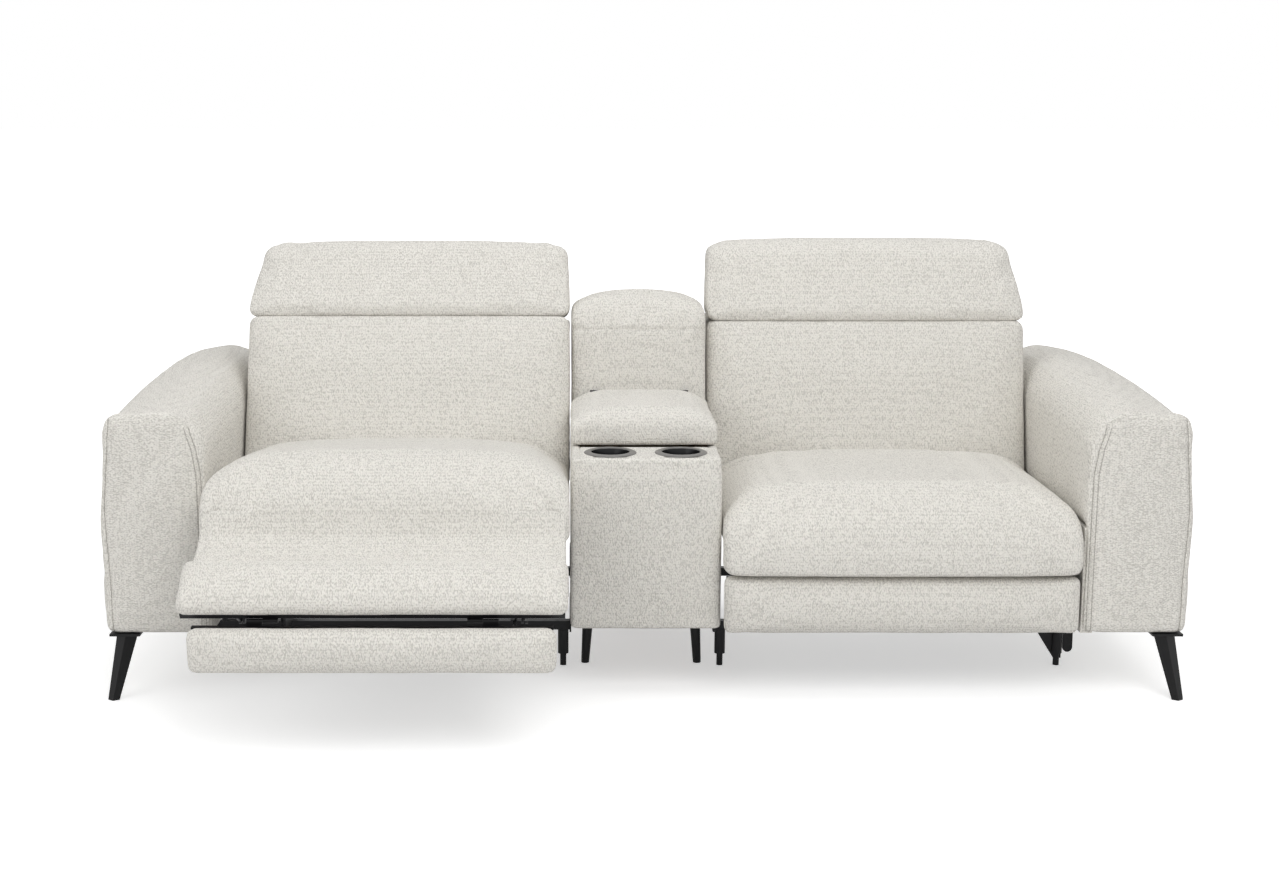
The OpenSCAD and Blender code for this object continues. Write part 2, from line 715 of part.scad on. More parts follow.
module seat_frame(f) {
    x = frame_half - frame_rail_t;
    color("burlywood") ride_carriage(f) {
        both_sides() block([frame_back, frame_z], [frame_front, frame_top], x, frame_rail_t);
        block([frame_front - frame_rail_t, frame_z], [frame_front, frame_top], -x, 2*x);
        block([frame_back, frame_z], [frame_back + frame_rail_t, frame_top], -x, 2*x);
    }
}
spring_count = 6;
spring_wire = 4;
spring_bends = 9;
spring_sweep = 18;
module seat_spring(length) {
    step = length/spring_bends;
    line = [for (i = [0:spring_bends]) [(i % 2 == 0 ? -1 : 1)*spring_sweep, i*step]];
    linear_extrude(spring_wire) polygon(concat(
        [for (p = line) p - [spring_wire/2, 0]],
        [for (i = [spring_bends:-1:0]) line[i] + [spring_wire/2, 0]]));
}
module seat_springs(f) {
    length = frame_front - frame_back - 2*frame_rail_t - 2*soft_gap;
    pitch = 2*(frame_half - frame_rail_t)/spring_count;
    first = -frame_front + frame_rail_t + soft_gap;
    color("silver") ride_carriage(f) for (i = [0:spring_count-1])
        translate([(i + 0.5 - spring_count/2)*pitch, first, frame_top - 2*spring_wire])
            seat_spring(length);
}
seat_edge = 22;
seat_round = 52;
seat_bulge = 10;
roll_corner_r = 6;
module seat_cushion(f) {
    foot = frame_top + soft_gap;
    roll_back = seat_nose - roll_d;
    color("gainsboro") ride_carriage(f) pillow(rounded([
        [-seat_d, foot], [roll_back, foot], [roll_back, roll_z], [seat_nose, roll_z],
        [seat_nose, seat_h], [-seat_d, seat_h]],
        [seat_edge, roll_corner_r, seat_edge, seat_edge, seat_round, seat_edge]), seat_w, seat_edge,
        [seat_nose - roll_d/2, (foot + seat_h)/2], up = seat_crown, fwd = seat_bulge);
}

// Footrest linkage
module drive_links(f) {
    color("dimgray") ride_drive_link(f) {
        both_sides() {
            link_body(shaft_pin, low_pin, drive_layer);
            pin(first_cross, slide_layer, drive_layer);
            pin(low_pin, slide_layer, drive_layer);
        }
        rod(shaft_pin, shaft_r, -drive_layer, 2*drive_layer);
        drive_lever();
    }
}
lever_x = 18;
lever_t = 5;
lever_play = 1.6;
nut_pin_r = 4;
module drive_lever() {
    rest = -90 - link_turn/2;
    long = lever_drop/cos(link_turn/2);
    slot_r = nut_pin_r + lever_play;
    difference() {
        union() {
            rod(shaft_pin, shaft_r + lever_t, lever_x, lever_t, rest + 180);
            translate([lever_x, -shaft_pin.x, shaft_pin.y]) rotate([-rest, 0, 0])
                translate([0, -long - eye_r, -eye_r]) cube([lever_t, long + eye_r, 2*eye_r]);
        }
        translate([lever_x - over, -shaft_pin.x, shaft_pin.y]) rotate([-rest, 0, 0])
            translate([0, -long - slot_r, -slot_r])
                cube([lever_t + 2*over, long - lever_drop + 2*slot_r, 2*slot_r]);
    }
}
module slide_links(f) {
    color("dimgray") both_sides() ride_slide_link(f) {
        difference() {
            union() {
                link_body(slide_pin, high_pin, slide_layer);
                rod(first_cross, eye_r, slide_layer, plate_t, heading(high_pin - slide_pin) + 90);
            }
            hole(first_cross, pin_r + pin_fit, slide_layer);
        }
        pin(high_pin, slide_layer, drive_layer);
        pin(slide_pin, carriage_layer, slide_layer);
    }
}
outer_end = tie_foot(0);
module outer_links(f) {
    color("dimgray") both_sides() ride_outer_link(f) {
        difference() {
            link_body(high_pin, outer_end, drive_layer);
            hole(high_pin, pin_r + pin_fit, drive_layer);
        }
        pin(second_cross, slide_layer, drive_layer);
        pin(outer_end, drive_layer, tie_layer);
    }
}
module lift_links(f) {
    color("dimgray") both_sides() ride_lift_link(f) {
        difference() {
            union() {
                link_body(low_pin, bracket_pin, slide_layer);
                rod(second_cross, eye_r, slide_layer, plate_t, heading(bracket_pin - low_pin) + 90);
            }
            hole(low_pin, pin_r + pin_fit, slide_layer);
            hole(second_cross, pin_r + open_fit, slide_layer);
        }
        pin(bracket_pin, slide_layer, bracket_layer);
    }
}
tie_play = 1.8;
module tie_links(f) {
    head = tie_head(0);
    foot = head + polar(tie_len, tie_angle);
    color("dimgray") both_sides() ride_tie(f) difference() {
        link_body(head, foot, tie_layer);
        hole(head, pin_r + pin_fit, tie_layer);
        hole(foot, pin_r + tie_play, tie_layer);
    }
}
bracket_h = 18;
bracket_flange = 26;
module footrest_brackets(f) {
    head = tie_head(0);
    face = board_back - soft_gap;
    top = pad_top - board_t/2;
    color("dimgray") both_sides() ride_bracket(f) {
        difference() {
            union() {
                slab(bracket_layer, plate_t) polygon([
                    head + polar(eye_r, -150), head + polar(eye_r, -30),
                    [head.x + 2*eye_r, top - bracket_h], [face, top - bracket_h], [face, top],
                    bracket_pin + polar(eye_r, 80), bracket_pin + polar(eye_r, 150)]);
                rod(bracket_pin, eye_r, bracket_layer, plate_t);
                rod(head, eye_r, bracket_layer, plate_t);
            }
            hole(bracket_pin, pin_r + pin_fit, bracket_layer);
        }
        pin(head, tie_layer, bracket_layer);
        block([face - plate_t, top - bracket_h], [face, top], bracket_layer, bracket_flange);
    }
}
leaf_w = 60;
leaf_x = 180;
flap_leaf_t = 1.5;
flap_leaf_h = 36;
pad_edge = 12;
board_in = 6;
// One knuckle of the flap's hinge with its leaf, which faces forward or back
module flap_knuckle(side, x, w) {
    face = flap_hinge.x + side*flap_gap;
    back = side > 0 ? face - flap_leaf_t : face;
    rod(flap_hinge, flap_knuckle_r, x, w);
    block([back, flap_hinge.y], [back + flap_leaf_t, flap_hinge.y + flap_leaf_h], x, w);
}
module footrest_board(f) {
    half = seat_w/2 - board_in;
    front = board_back + board_t - soft_gap;
    color("burlywood") ride_bracket(f)
        block([board_back, pad_z + board_in], [front, pad_top - board_in], -half, 2*half);
    color("dimgray") ride_bracket(f) both_sides() difference() {
        flap_knuckle(1, leaf_x, leaf_w/2 - soft_gap);
        rod(flap_hinge, flap_pin_r + pin_fit, leaf_x - over, leaf_w/2 + 2*over);
    }
}
module footrest_pad(f) {
    color("gainsboro") ride_bracket(f)
        pillow(rounded([[-pad_t, pad_z], [0, pad_z], [0, pad_top], [-pad_t, pad_top]],
            [pad_edge/2, pad_edge, pad_edge, pad_edge/2]), seat_w, pad_edge/2,
            [-pad_t/2, (pad_z + pad_top)/2]);
}
flap_rise = flap_pin_rise + 2*soft_gap;
flap_low = flap_hinge.y + flap_rise;
flap_back = flap_hinge.x - flap_gap - board_t;
module flap_board(f) {
    half = flap_w/2 - board_in;
    color("burlywood") ride_flap(f) block([flap_back, flap_low + board_in/2],
        [flap_hinge.x - flap_gap, flap_low + flap_h - board_in], -half, 2*half);
    color("dimgray") ride_flap(f) both_sides() {
        rod(flap_hinge, flap_pin_r, leaf_x, leaf_w);
        flap_knuckle(-1, leaf_x + leaf_w/2, leaf_w/2);
    }
}
module flap_pad(f) {
    front = flap_back - soft_gap;
    top = flap_low + flap_h;
    color("gainsboro") ride_flap(f)
        pillow(rounded([[front - pad_t, flap_low], [front, flap_low], [front, top], [front - pad_t, top]],
            [pad_edge, pad_edge/2, pad_edge/2, pad_edge]), flap_w, pad_edge/2,
            [front - pad_t/2, flap_low + flap_h/2]);
}

// Drive
rail_pin = shaft_pin - [0, lever_drop];
nut_start = rail_pin - [lever_drop*tan(link_turn/2), 0];
nut_size = 28;
motor_w = 70;
motor_d = 80;
motor_h = 58;
motor_back = mid_tube - motor_d/3;
rail_front = nut_start.x + full_nut_travel + nut_size;
module drive_motor(f) {
    top = top_rail - carriage_tube - soft_gap;
    color("dimgray") ride_carriage(f) {
        block([motor_back, top - motor_h], [motor_back + motor_d, top], -motor_w/2, motor_w);
        translate([0, -motor_back - motor_d + over, rail_pin.y]) rotate([90, 0, 0])
            cylinder(r = rail_r, h = rail_front - motor_back - motor_d + over);
    }
}
module drive_nut(f) {
    half = [nut_size/2, nut_size/2];
    color("silver") ride_nut(f) difference() {
        union() {
            block(nut_start - half, nut_start + half, -nut_size/2, nut_size);
            rod(nut_start, nut_pin_r, nut_size/2 - over, lever_x + lever_t - nut_size/2 + over);
        }
        translate([0, -nut_start.x + nut_size/2 + over, nut_start.y]) rotate([90, 0, 0])
            cylinder(r = rail_r + pin_fit, h = nut_size + 2*over);
    }
}

// Back and headrest
hinge_x = carriage_layer + layer_step;
headrest_gap = 3;
back_top = headrest_z - headrest_gap;
back_rear = back_front - back_t;
back_rear_top = back_front - back_lean - back_top_t;
function back_rear_at(z) = back_rear + (back_rear_top - back_rear)*(z - back_z)/(back_top - back_z);
back_board_in = 30;
board_w = seat_w - 2*back_board_in;
back_edge = 22;
back_round = 26;
board_foot = back_z;
head_pocket = 24;
board_top = back_top - head_pocket;
strap_h = 30;
module back_frame(f, lean) {
    low = back_rear - soft_gap;
    high = back_rear_at(board_top) - soft_gap;
    color("burlywood") ride_back(f, lean) slab(-board_w/2, board_w) polygon([
        [low, board_foot], [high, board_top],
        [high - back_board_t, board_top], [low - back_board_t, board_foot]]);
    color("dimgray") ride_back(f, lean) both_sides() {
        slab(hinge_x, plate_t) polygon([
            recline_pin + polar(plate_rib, -120), recline_pin + polar(plate_rib, 60),
            [back_rear + strap_h, board_foot - soft_gap], [low - back_board_t, board_foot - soft_gap],
            [low - back_board_t, board_foot - strap_h]]);
        rod(recline_pin, plate_rib, hinge_x, plate_t);
        rod(recline_pin, pin_r, carriage_layer, hinge_x - carriage_layer + plate_t);
        block([low - back_board_t, board_foot - plate_t], [low, board_foot], hinge_x, bracket_flange);
        rod(head_pin, head_eye_r, head_arm_x, plate_t);
        block([head_pin.x - head_post_w/2, board_top], [head_pin.x + head_post_w/2, head_pin.y],
            head_arm_x, plate_t);
        rod(head_pin, pin_r, head_arm_x, layer_step + plate_t);
    }
}
module back_cushion(f, lean) {
    rear = back_rear - back_board_t - 2*soft_gap;
    rear_top = back_rear_top - back_board_t - 2*soft_gap;
    color("gainsboro") ride_back(f, lean) {
        pillow(rounded([[back_rear, back_z], [back_front, back_z],
            [back_front - back_lean, back_top], [back_rear_top, back_top]],
            [back_edge, back_edge, back_round, back_round]), seat_w, back_edge,
            [back_front - back_lean/2 - back_t/2, (back_z + back_top)/2], fwd = back_crown,
            lean = back_lean, tuck = 1);
        pillow(rounded([[rear - rear_pad_t, back_z], [rear, back_z],
            [rear_top, back_top], [rear_top - rear_pad_t, back_top]],
            [rear_pad_t/3, rear_pad_t/3, rear_pad_t/3, rear_pad_t/3]), seat_w, rear_pad_t/4,
            [(rear + rear_top - rear_pad_t)/2, (back_z + back_top)/2]);
    }
}
headrest_in = 14;
headrest_w = seat_w - headrest_in;
headrest_board_t = 12;
headrest_foot = headrest_z + headrest_gap;
headrest_top = headrest_foot + headrest_h;
headrest_set = 2;
headrest_front = back_front - back_lean - headrest_set;
headrest_rear = headrest_front - headrest_t;
headrest_top_t = 104;
head_eye_r = 8;
head_pin_z = board_top + 1.5*head_eye_r;
head_pin = [back_rear_at(head_pin_z) - soft_gap - back_board_t/2, head_pin_z];
module ride_headrest(f, lean) { ride_back(f, lean) children(); }
head_arm_x = 150;
head_post_w = 16;
module headrest_frame(f, lean) {
    low = headrest_rear - soft_gap;
    high = headrest_front - headrest_lean - headrest_top_t - soft_gap;
    top = headrest_top - headrest_h/4;
    color("dimgray") ride_headrest(f, lean) {
        slab(-headrest_w/2 + headrest_t/2, headrest_w - headrest_t) polygon([
            [low, headrest_foot], [high + (low - high)/4, top],
            [high + (low - high)/4 - headrest_board_t, top], [low - headrest_board_t, headrest_foot]]);
        both_sides() difference() {
            union() {
                rod(head_pin, head_eye_r, head_arm_x + layer_step, plate_t);
                slab(head_arm_x + layer_step, plate_t) polygon([
                    head_pin + polar(head_eye_r, -40), [low - soft_gap, headrest_foot],
                    [low - headrest_board_t/2, headrest_foot + head_post_w],
                    [low - headrest_board_t, headrest_foot + head_post_w],
                    head_pin + polar(head_eye_r, 140)]);
            }
            hole(head_pin, pin_r + pin_fit, head_arm_x + layer_step);
        }
    }
}
module headrest_cushion(f, lean) {
    color("gainsboro") ride_headrest(f, lean)
        pillow(rounded([[headrest_rear, headrest_foot], [headrest_front, headrest_foot],
            [headrest_front - headrest_lean, headrest_top],
            [headrest_front - headrest_lean - headrest_top_t, headrest_top]],
            [back_edge, back_edge, back_round, back_round]), headrest_w, back_edge,
            [headrest_front - headrest_t/2, headrest_foot + headrest_h/3], fwd = back_crown/2,
            lean = headrest_lean, tuck = 1);
}

// One seat, with every piece at its own pose
module seat_node(name, left) {
    f = left ? left_open_share : right_open_share;
    lean = left ? left_recline : 0;
    at_seat(left) {
        if (name == "base_frame") base_frame();
        if (name == "rear_swing_links") rear_swing_links(f);
        if (name == "front_swing_links") front_swing_links(f);
        if (name == "carriage") carriage(f);
        if (name == "seat_frame") seat_frame(f);
        if (name == "seat_springs") seat_springs(f);
        if (name == "seat_cushion") seat_cushion(f);
        if (name == "drive_links") drive_links(f);
        if (name == "slide_links") slide_links(f);
        if (name == "outer_links") outer_links(f);
        if (name == "lift_links") lift_links(f);
        if (name == "tie_links") tie_links(f);
        if (name == "footrest_brackets") footrest_brackets(f);
        if (name == "footrest_board") footrest_board(f);
        if (name == "footrest_pad") footrest_pad(f);
        if (name == "flap_board") flap_board(f);
        if (name == "flap_pad") flap_pad(f);
        if (name == "drive_motor") drive_motor(f);
        if (name == "drive_nut") drive_nut(f);
        if (name == "back_frame") back_frame(f, lean);
        if (name == "back_cushion") back_cushion(f, lean);
        if (name == "headrest_frame") headrest_frame(f, lean);
        if (name == "headrest_cushion") headrest_cushion(f, lean);
    }
}
module in_frame() { translate([0, -origin_shift, 0]) children(); }

in_frame() {
    mirror([1, 0, 0]) arm_cover();  // left_arm_cover
    arm_cover();  // right_arm_cover
    arm_frames();
    arm_legs();
    console_cover();
    console_frame();
    console_deck();
    cup_holders();
    console_lid_board();
    console_lid_cushion();
    console_lid_hinges();
    console_back_frame();
    console_back_cushion();
    console_legs();
}
seat_parts = ["base_frame", "rear_swing_links", "front_swing_links", "carriage", "seat_frame",
    "seat_springs", "seat_cushion", "drive_links", "slide_links", "outer_links", "lift_links",
    "tie_links", "footrest_brackets", "footrest_board", "footrest_pad", "flap_board", "flap_pad",
    "drive_motor", "drive_nut", "back_frame", "back_cushion", "headrest_frame", "headrest_cushion"];
for (part = seat_parts) {
    in_frame() seat_node(part, true);
    in_frame() seat_node(part, false);
}
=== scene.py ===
"""Looks of a two seat reclining sofa with a fixed console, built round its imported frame."""

import json
import logging
import math
from dataclasses import dataclass, field
from enum import Enum
from typing import Callable, Iterable, Sequence

import bpy
import numpy as np
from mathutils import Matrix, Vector, noise
from mathutils.bvhtree import BVHTree
from mathutils.kdtree import KDTree


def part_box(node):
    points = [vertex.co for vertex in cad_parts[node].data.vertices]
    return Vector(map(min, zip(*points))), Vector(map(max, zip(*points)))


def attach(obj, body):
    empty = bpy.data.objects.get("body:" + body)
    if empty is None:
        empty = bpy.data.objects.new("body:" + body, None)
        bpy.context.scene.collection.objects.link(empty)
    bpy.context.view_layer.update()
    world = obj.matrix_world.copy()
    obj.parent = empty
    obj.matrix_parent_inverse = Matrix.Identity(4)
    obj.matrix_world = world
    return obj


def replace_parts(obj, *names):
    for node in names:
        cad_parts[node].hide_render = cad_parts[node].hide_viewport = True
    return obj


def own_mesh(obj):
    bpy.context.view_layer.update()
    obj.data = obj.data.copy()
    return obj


LOG = logging.getLogger("sofa")
MM = 0.001
COARSE = 6.5*MM  # forms meshed coarser than this are subdivided once
Points = np.ndarray
Object = bpy.types.Object
Material = bpy.types.Material
Shape = Callable[[Points, Points, Points], tuple[Points, Points, Points]]
Hold = Callable[[Points, Points], Points]

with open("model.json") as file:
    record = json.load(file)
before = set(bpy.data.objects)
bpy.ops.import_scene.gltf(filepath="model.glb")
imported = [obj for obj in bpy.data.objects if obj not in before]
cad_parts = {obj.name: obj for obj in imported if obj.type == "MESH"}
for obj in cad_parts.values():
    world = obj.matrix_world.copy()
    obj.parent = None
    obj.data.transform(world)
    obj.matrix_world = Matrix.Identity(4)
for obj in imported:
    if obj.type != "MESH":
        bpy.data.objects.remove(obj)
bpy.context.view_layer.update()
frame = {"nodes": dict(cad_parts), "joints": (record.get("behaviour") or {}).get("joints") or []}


class Side(Enum):
    """The two seats, as the viewer sees them."""

    LEFT = "left"
    RIGHT = "right"


class Pile(Enum):
    """Which way the cloth's long slubs run on a piece."""

    UP = "up"
    ACROSS = "across"


class Link:
    """A shader socket that takes part in plain arithmetic."""

    def __init__(self, shader: "Shader", socket: bpy.types.NodeSocket) -> None:
        """Wraps one output socket of a shader's node."""
        self.shader = shader
        self.socket = socket

    def _math(self, operation: str, first: object, second: object) -> "Link":
        """Adds one Math node on two values or links."""
        return self.shader.node("ShaderNodeMath", {"operation": operation}, {0: first, 1: second})

    def __add__(self, other: object) -> "Link":
        """Sum."""
        return self._math("ADD", self, other)

    def __sub__(self, other: object) -> "Link":
        """Difference."""
        return self._math("SUBTRACT", self, other)

    def __rsub__(self, other: object) -> "Link":
        """Difference from a value."""
        return self._math("SUBTRACT", other, self)

    def __mul__(self, other: object) -> "Link":
        """Product."""
        return self._math("MULTIPLY", self, other)


class Shader:
    """A material's node tree, with one method that adds any node."""

    def __init__(self, name: str) -> None:
        """Starts a material with a Principled BSDF.

        Args:
            name: The material's name.
        """
        self.material = bpy.data.materials.new(name)
        self.material.use_nodes = True
        self.nodes = self.material.node_tree.nodes
        self.principled = self.nodes["Principled BSDF"]
        self.output = self.nodes["Material Output"]

    def node(self, kind: str, settings: dict, inputs: dict, out: int | str = 0) -> Link:
        """Adds a node.

        Args:
            kind: The node's type.
            settings: The node's own settings, set before its sockets.
            inputs: Values or links by socket name or number.
            out: Which output to return.

        Returns:
            The output as a link.
        """
        made = self.nodes.new(kind)
        for name, value in settings.items():
            setattr(made, name, value)
        for name, value in inputs.items():
            self.join(made.inputs[name], value)
        return Link(self, made.outputs[out])

    def join(self, socket: bpy.types.NodeSocket, value: object) -> None:
        """Gives a socket a value or a link."""
        if isinstance(value, Link):
            self.material.node_tree.links.new(value.socket, socket)
        else:
            socket.default_value = value

    def place(self, scale: Sequence[float]) -> Link:
        """Object coordinates, stretched.

        Args:
            scale: Factor along each axis, in turns per metre.

        Returns:
            The stretched coordinates.
        """
        spot = self.node("ShaderNodeTexCoord", {}, {}, "Object")
        return self.node("ShaderNodeVectorMath", {"operation": "MULTIPLY"}, {0: spot, 1: tuple(scale)})

    def grain(self, scale: Sequence[float], detail: float = 2.0) -> Link:
        """Soft noise from 0 to 1 at its own stretch."""
        inputs = {"Vector": self.place(scale), "Scale": 1.0, "Detail": detail}
        return self.node("ShaderNodeTexNoise", {}, inputs)

    def ramp(self, value: Link, low: float, high: float) -> Link:
        """0 under low, 1 over high, smooth between."""
        settings = {"interpolation_type": "SMOOTHSTEP"}
        return self.node("ShaderNodeMapRange", settings, {"Value": value, "From Min": low, "From Max": high})

    def blend(self, share: Link, first: object, second: object) -> Link:
        """Mixes two colours by a share."""
        return self.node("ShaderNodeMix", {"data_type": "RGBA"}, {0: share, 6: first, 7: second}, 2)

    def dress(self, **values: object) -> Material:
        """Sets the surface's sockets, named with _ for a space, and returns the material."""
        for name, value in values.items():
            self.join(self.principled.inputs[name.replace("_", " ")], value)
        return self.material

    def bump(self, height: Link, distance: float, strength: float = 1.0) -> None:
        """Feeds a height to the surface's normal."""
        made = self.node("ShaderNodeBump", {}, {"Height": height, "Distance": distance, "Strength": strength})
        self.join(self.principled.inputs["Normal"], made)


@dataclass(frozen=True)
class BoucleCloth:
    """Chunky oat cloth with slubs and dark flecks, and painted shade in the gaps between its loops.

    Attributes:
        name: The material's name.
        pile: Which way the slubs run.
    """

    name: str
    pile: Pile
    yarn: float = 2.4 * MM
    stretch: float = 2.2
    # light is the loops' colour; shade is painted shade that fills the gaps between the loops
    light: tuple = (0.835, 0.811, 0.757, 1)
    shade: tuple = (0.560, 0.540, 0.498, 1)
    fleck: tuple = (0.36, 0.34, 0.31, 1)

    def make(self) -> Material:
        """Builds the cloth's material."""
        shader = Shader(self.name)
        across, along = 1/self.yarn, 1/(self.yarn*self.stretch)
        fine = (across, along, along) if self.pile is Pile.UP else (along, across, across)
        slow = tuple(0.22*s for s in fine)
        spot = shader.place(fine)
        warp = shader.node("ShaderNodeVectorMath", {"operation": "MULTIPLY_ADD"}, {
            0: shader.node("ShaderNodeTexNoise", {}, {"Vector": spot, "Scale": 0.6}, 1),
            1: (0.9, 0.9, 0.9), 2: spot})
        cell = shader.node("ShaderNodeTexVoronoi", {"feature": "F1"},
                           {"Vector": warp, "Scale": 1.0, "Randomness": 0.7})
        gap = shader.ramp(cell, 0.38, 0.78)
        slub = shader.grain(slow, 3.0)
        streak = shader.ramp(slub, 0.44, 0.66)
        speck = shader.ramp(shader.grain(tuple(0.55*s for s in fine), 1.0), 0.60, 0.72)
        tone = shader.grain((9, 9, 9), 2.0)
        # painted shade: darker towards shade where the gap mask marks the hollows between loops, with the
        # slubs' streaks and a slow random tone
        wear_and_gap_shade = shader.blend(gap*0.80 + streak*0.06 + (tone - 0.5)*0.10, self.light, self.shade)
        colour = shader.blend(gap*speck*0.30, wear_and_gap_shade, self.fleck)
        shader.bump((1 - gap)*0.7 + slub*0.5, 1.9*MM, 0.85)
        return shader.dress(Base_Color=colour, Roughness=0.94, Sheen_Weight=0.12, Sheen_Roughness=0.6,
                            Specular_IOR_Level=0.25)


@dataclass(frozen=True)
class SatinSteel:
    """Powder coated steel with a fine peel."""

    name: str = "black_steel"
    colour: tuple = (0.006, 0.006, 0.007, 1)
    roughness: float = 0.42

    def make(self) -> Material:
        """Builds the coat's material."""
        shader = Shader(self.name)
        peel = shader.grain((900, 900, 900), 2.0)
        rub = shader.ramp(shader.grain((60, 60, 60), 4.0), 0.55, 0.8)
        # the steel's lighter colour of rubbed wear at random spots
        wear_and_gap_shade = tuple(min(1, c*2.2) for c in self.colour[:3]) + (1,)
        shader.bump(peel, 0.15*MM, 0.4)
        return shader.dress(Base_Color=shader.blend(rub*0.5, self.colour, wear_and_gap_shade),
                            Roughness=rub*0.16 + self.roughness, Metallic=0.0, Specular_IOR_Level=0.22)


@dataclass(frozen=True)
class DrawnWire:
    """Bright drawn spring wire."""

    name: str = "spring_wire"

    def make(self) -> Material:
        """Builds the wire's material."""
        shader = Shader(self.name)
        draw = shader.grain((1500, 60, 1500), 2.0)
        shader.bump(draw, 0.1*MM, 0.3)
        colour = shader.blend(draw, (0.42, 0.42, 0.44, 1), (0.56, 0.56, 0.57, 1))
        return shader.dress(Base_Color=colour, Metallic=1.0, Roughness=draw*0.2 + 0.25)


@dataclass(frozen=True)
class PaleTimber:
    """Sawn beech with its grain along one axis."""

    name: str = "timber"
    grain_scale: tuple = (4, 60, 60)

    def make(self) -> Material:
        """Builds the timber's material."""
        shader = Shader(self.name)
        rings = shader.grain(self.grain_scale, 4.0)
        pores = shader.grain(tuple(8*s for s in self.grain_scale), 2.0)
        colour = shader.blend(shader.ramp(rings, 0.35, 0.7), (0.60, 0.44, 0.27, 1), (0.42, 0.27, 0.14, 1))
        shader.bump(pores, 0.3*MM, 0.4)
        return shader.dress(Base_Color=colour, Roughness=pores*0.2 + 0.5)


@dataclass(frozen=True)
class Moulding:
    """Moulded plastic, glossy or satin."""

    name: str
    colour: tuple
    roughness: float
    specular: float = 0.5

    def make(self) -> Material:
        """Builds the plastic's material."""
        shader = Shader(self.name)
        haze = shader.grain((140, 140, 140), 3.0)
        dull = tuple(min(1, c*1.35 + 0.004) for c in self.colour[:3]) + (1,)
        shader.bump(shader.grain((1200, 1200, 1200), 1.0), 0.05*MM, 0.2)
        return shader.dress(Base_Color=shader.blend(haze*0.5, self.colour, dull),
                            Roughness=haze*0.1 + self.roughness, Specular_IOR_Level=self.specular)


def add_object(name: str, data: bpy.types.ID) -> Object:
    """Makes an object of some data, linked to the scene."""
    made = bpy.data.objects.new(name, data)
    bpy.context.scene.collection.objects.link(made)
    return made


def mesh_object(name: str, points: Points, faces: Sequence[Sequence[int]]) -> Object:
    """Makes a linked object from points and faces.

    Args:
        name: The object's name.
        points: Coordinates in metres, one row each.
        faces: Corner numbers of each face.

    Returns:
        The object, at the origin.
    """
    mesh = bpy.data.meshes.new(name)
    mesh.from_pydata([tuple(p) for p in points], [], [tuple(f) for f in faces])
    mesh.update()
    return add_object(name, mesh)


def coords(piece: Object) -> Points:
    """The object's vertices as rows."""
    found = np.empty(len(piece.data.vertices)*3)
    piece.data.vertices.foreach_get("co", found)
    return found.reshape(-1, 3)


def set_coords(piece: Object, points: Points) -> None:
    """Moves the object's vertices."""
    piece.data.vertices.foreach_set("co", points.ravel())
    piece.data.update()


def normals(piece: Object) -> Points:
    """The vertices' normals as rows."""
    found = np.empty(len(piece.data.vertices)*3, np.float32)
    piece.data.vertex_normals.foreach_get("vector", found)
    return found.reshape(-1, 3).astype(float)


def settle(piece: Object) -> Object:
    """Applies every modifier of a piece to its mesh."""
    graph = bpy.context.evaluated_depsgraph_get()
    mesh = bpy.data.meshes.new_from_object(piece.evaluated_get(graph), depsgraph=graph)
    piece.modifiers.clear()
    old, piece.data = piece.data, mesh
    mesh.name = piece.name
    bpy.data.meshes.remove(old)
    return piece


def modify(piece: Object, kind: str, **settings: object) -> Object:
    """Adds one modifier with its settings and applies it."""
    made = piece.modifiers.new(kind.lower(), kind)
    for name, value in settings.items():
        setattr(made, name, value)
    return settle(piece)


def smooth(piece: Object) -> Object:
    """Shades a piece smooth."""
    piece.data.polygons.foreach_set("use_smooth", [True]*len(piece.data.polygons))
    return piece


def arc_outline(corners: Sequence[tuple[float, float, float]], step: float = 9*MM) -> Points:
    """A closed outline with rounded corners.

    Args:
        corners: Place and radius of each corner, counter-clockwise.
        step: Greatest length between points.

    Returns:
        The outline's points, one row each.
    """
    at = np.array([c[:2] for c in corners], float)
    path = []
    for i, (_, _, r) in enumerate(corners):
        here = at[i]
        u = at[i - 1] - here
        v = at[(i + 1) % len(at)] - here
        u, v = u/np.linalg.norm(u), v/np.linalg.norm(v)
        half = math.acos(max(-1, min(1, float(u @ v))))/2
        start, end = here + u*r/math.tan(half), here + v*r/math.tan(half)
        centre = here + (u + v)/np.linalg.norm(u + v)*r/math.sin(half)
        a = math.atan2(*(start - centre)[::-1])
        turn = (math.atan2(*(end - centre)[::-1]) - a + math.pi) % math.tau - math.pi
        count = max(3, int(abs(turn)*r/step*2))
        path += [centre + r*np.array([math.cos(a + turn*k/count), math.sin(a + turn*k/count)])
                 for k in range(count + 1)]
    dense = []
    for a, b in zip(path, path[1:] + path[:1]):
        count = max(1, int(np.linalg.norm(b - a)/step))
        dense += [a + (b - a)*k/count for k in range(count)]
    return np.array(dense)


def box_outline(low: Sequence[float], high: Sequence[float], radii: Sequence[float],
                step: float = 9*MM) -> Points:
    """A closed rectangle with rounded corners.

    Args:
        low: Its lowest corner.
        high: Its highest corner.
        radii: Radius of each corner, from the lowest and counter-clockwise.
        step: Greatest length between points.

    Returns:
        The outline's points, one row each.
    """
    corners = (low, (high[0], low[1]), high, (low[0], high[1]))
    return arc_outline([(*corner, r) for corner, r in zip(corners, radii)], step)


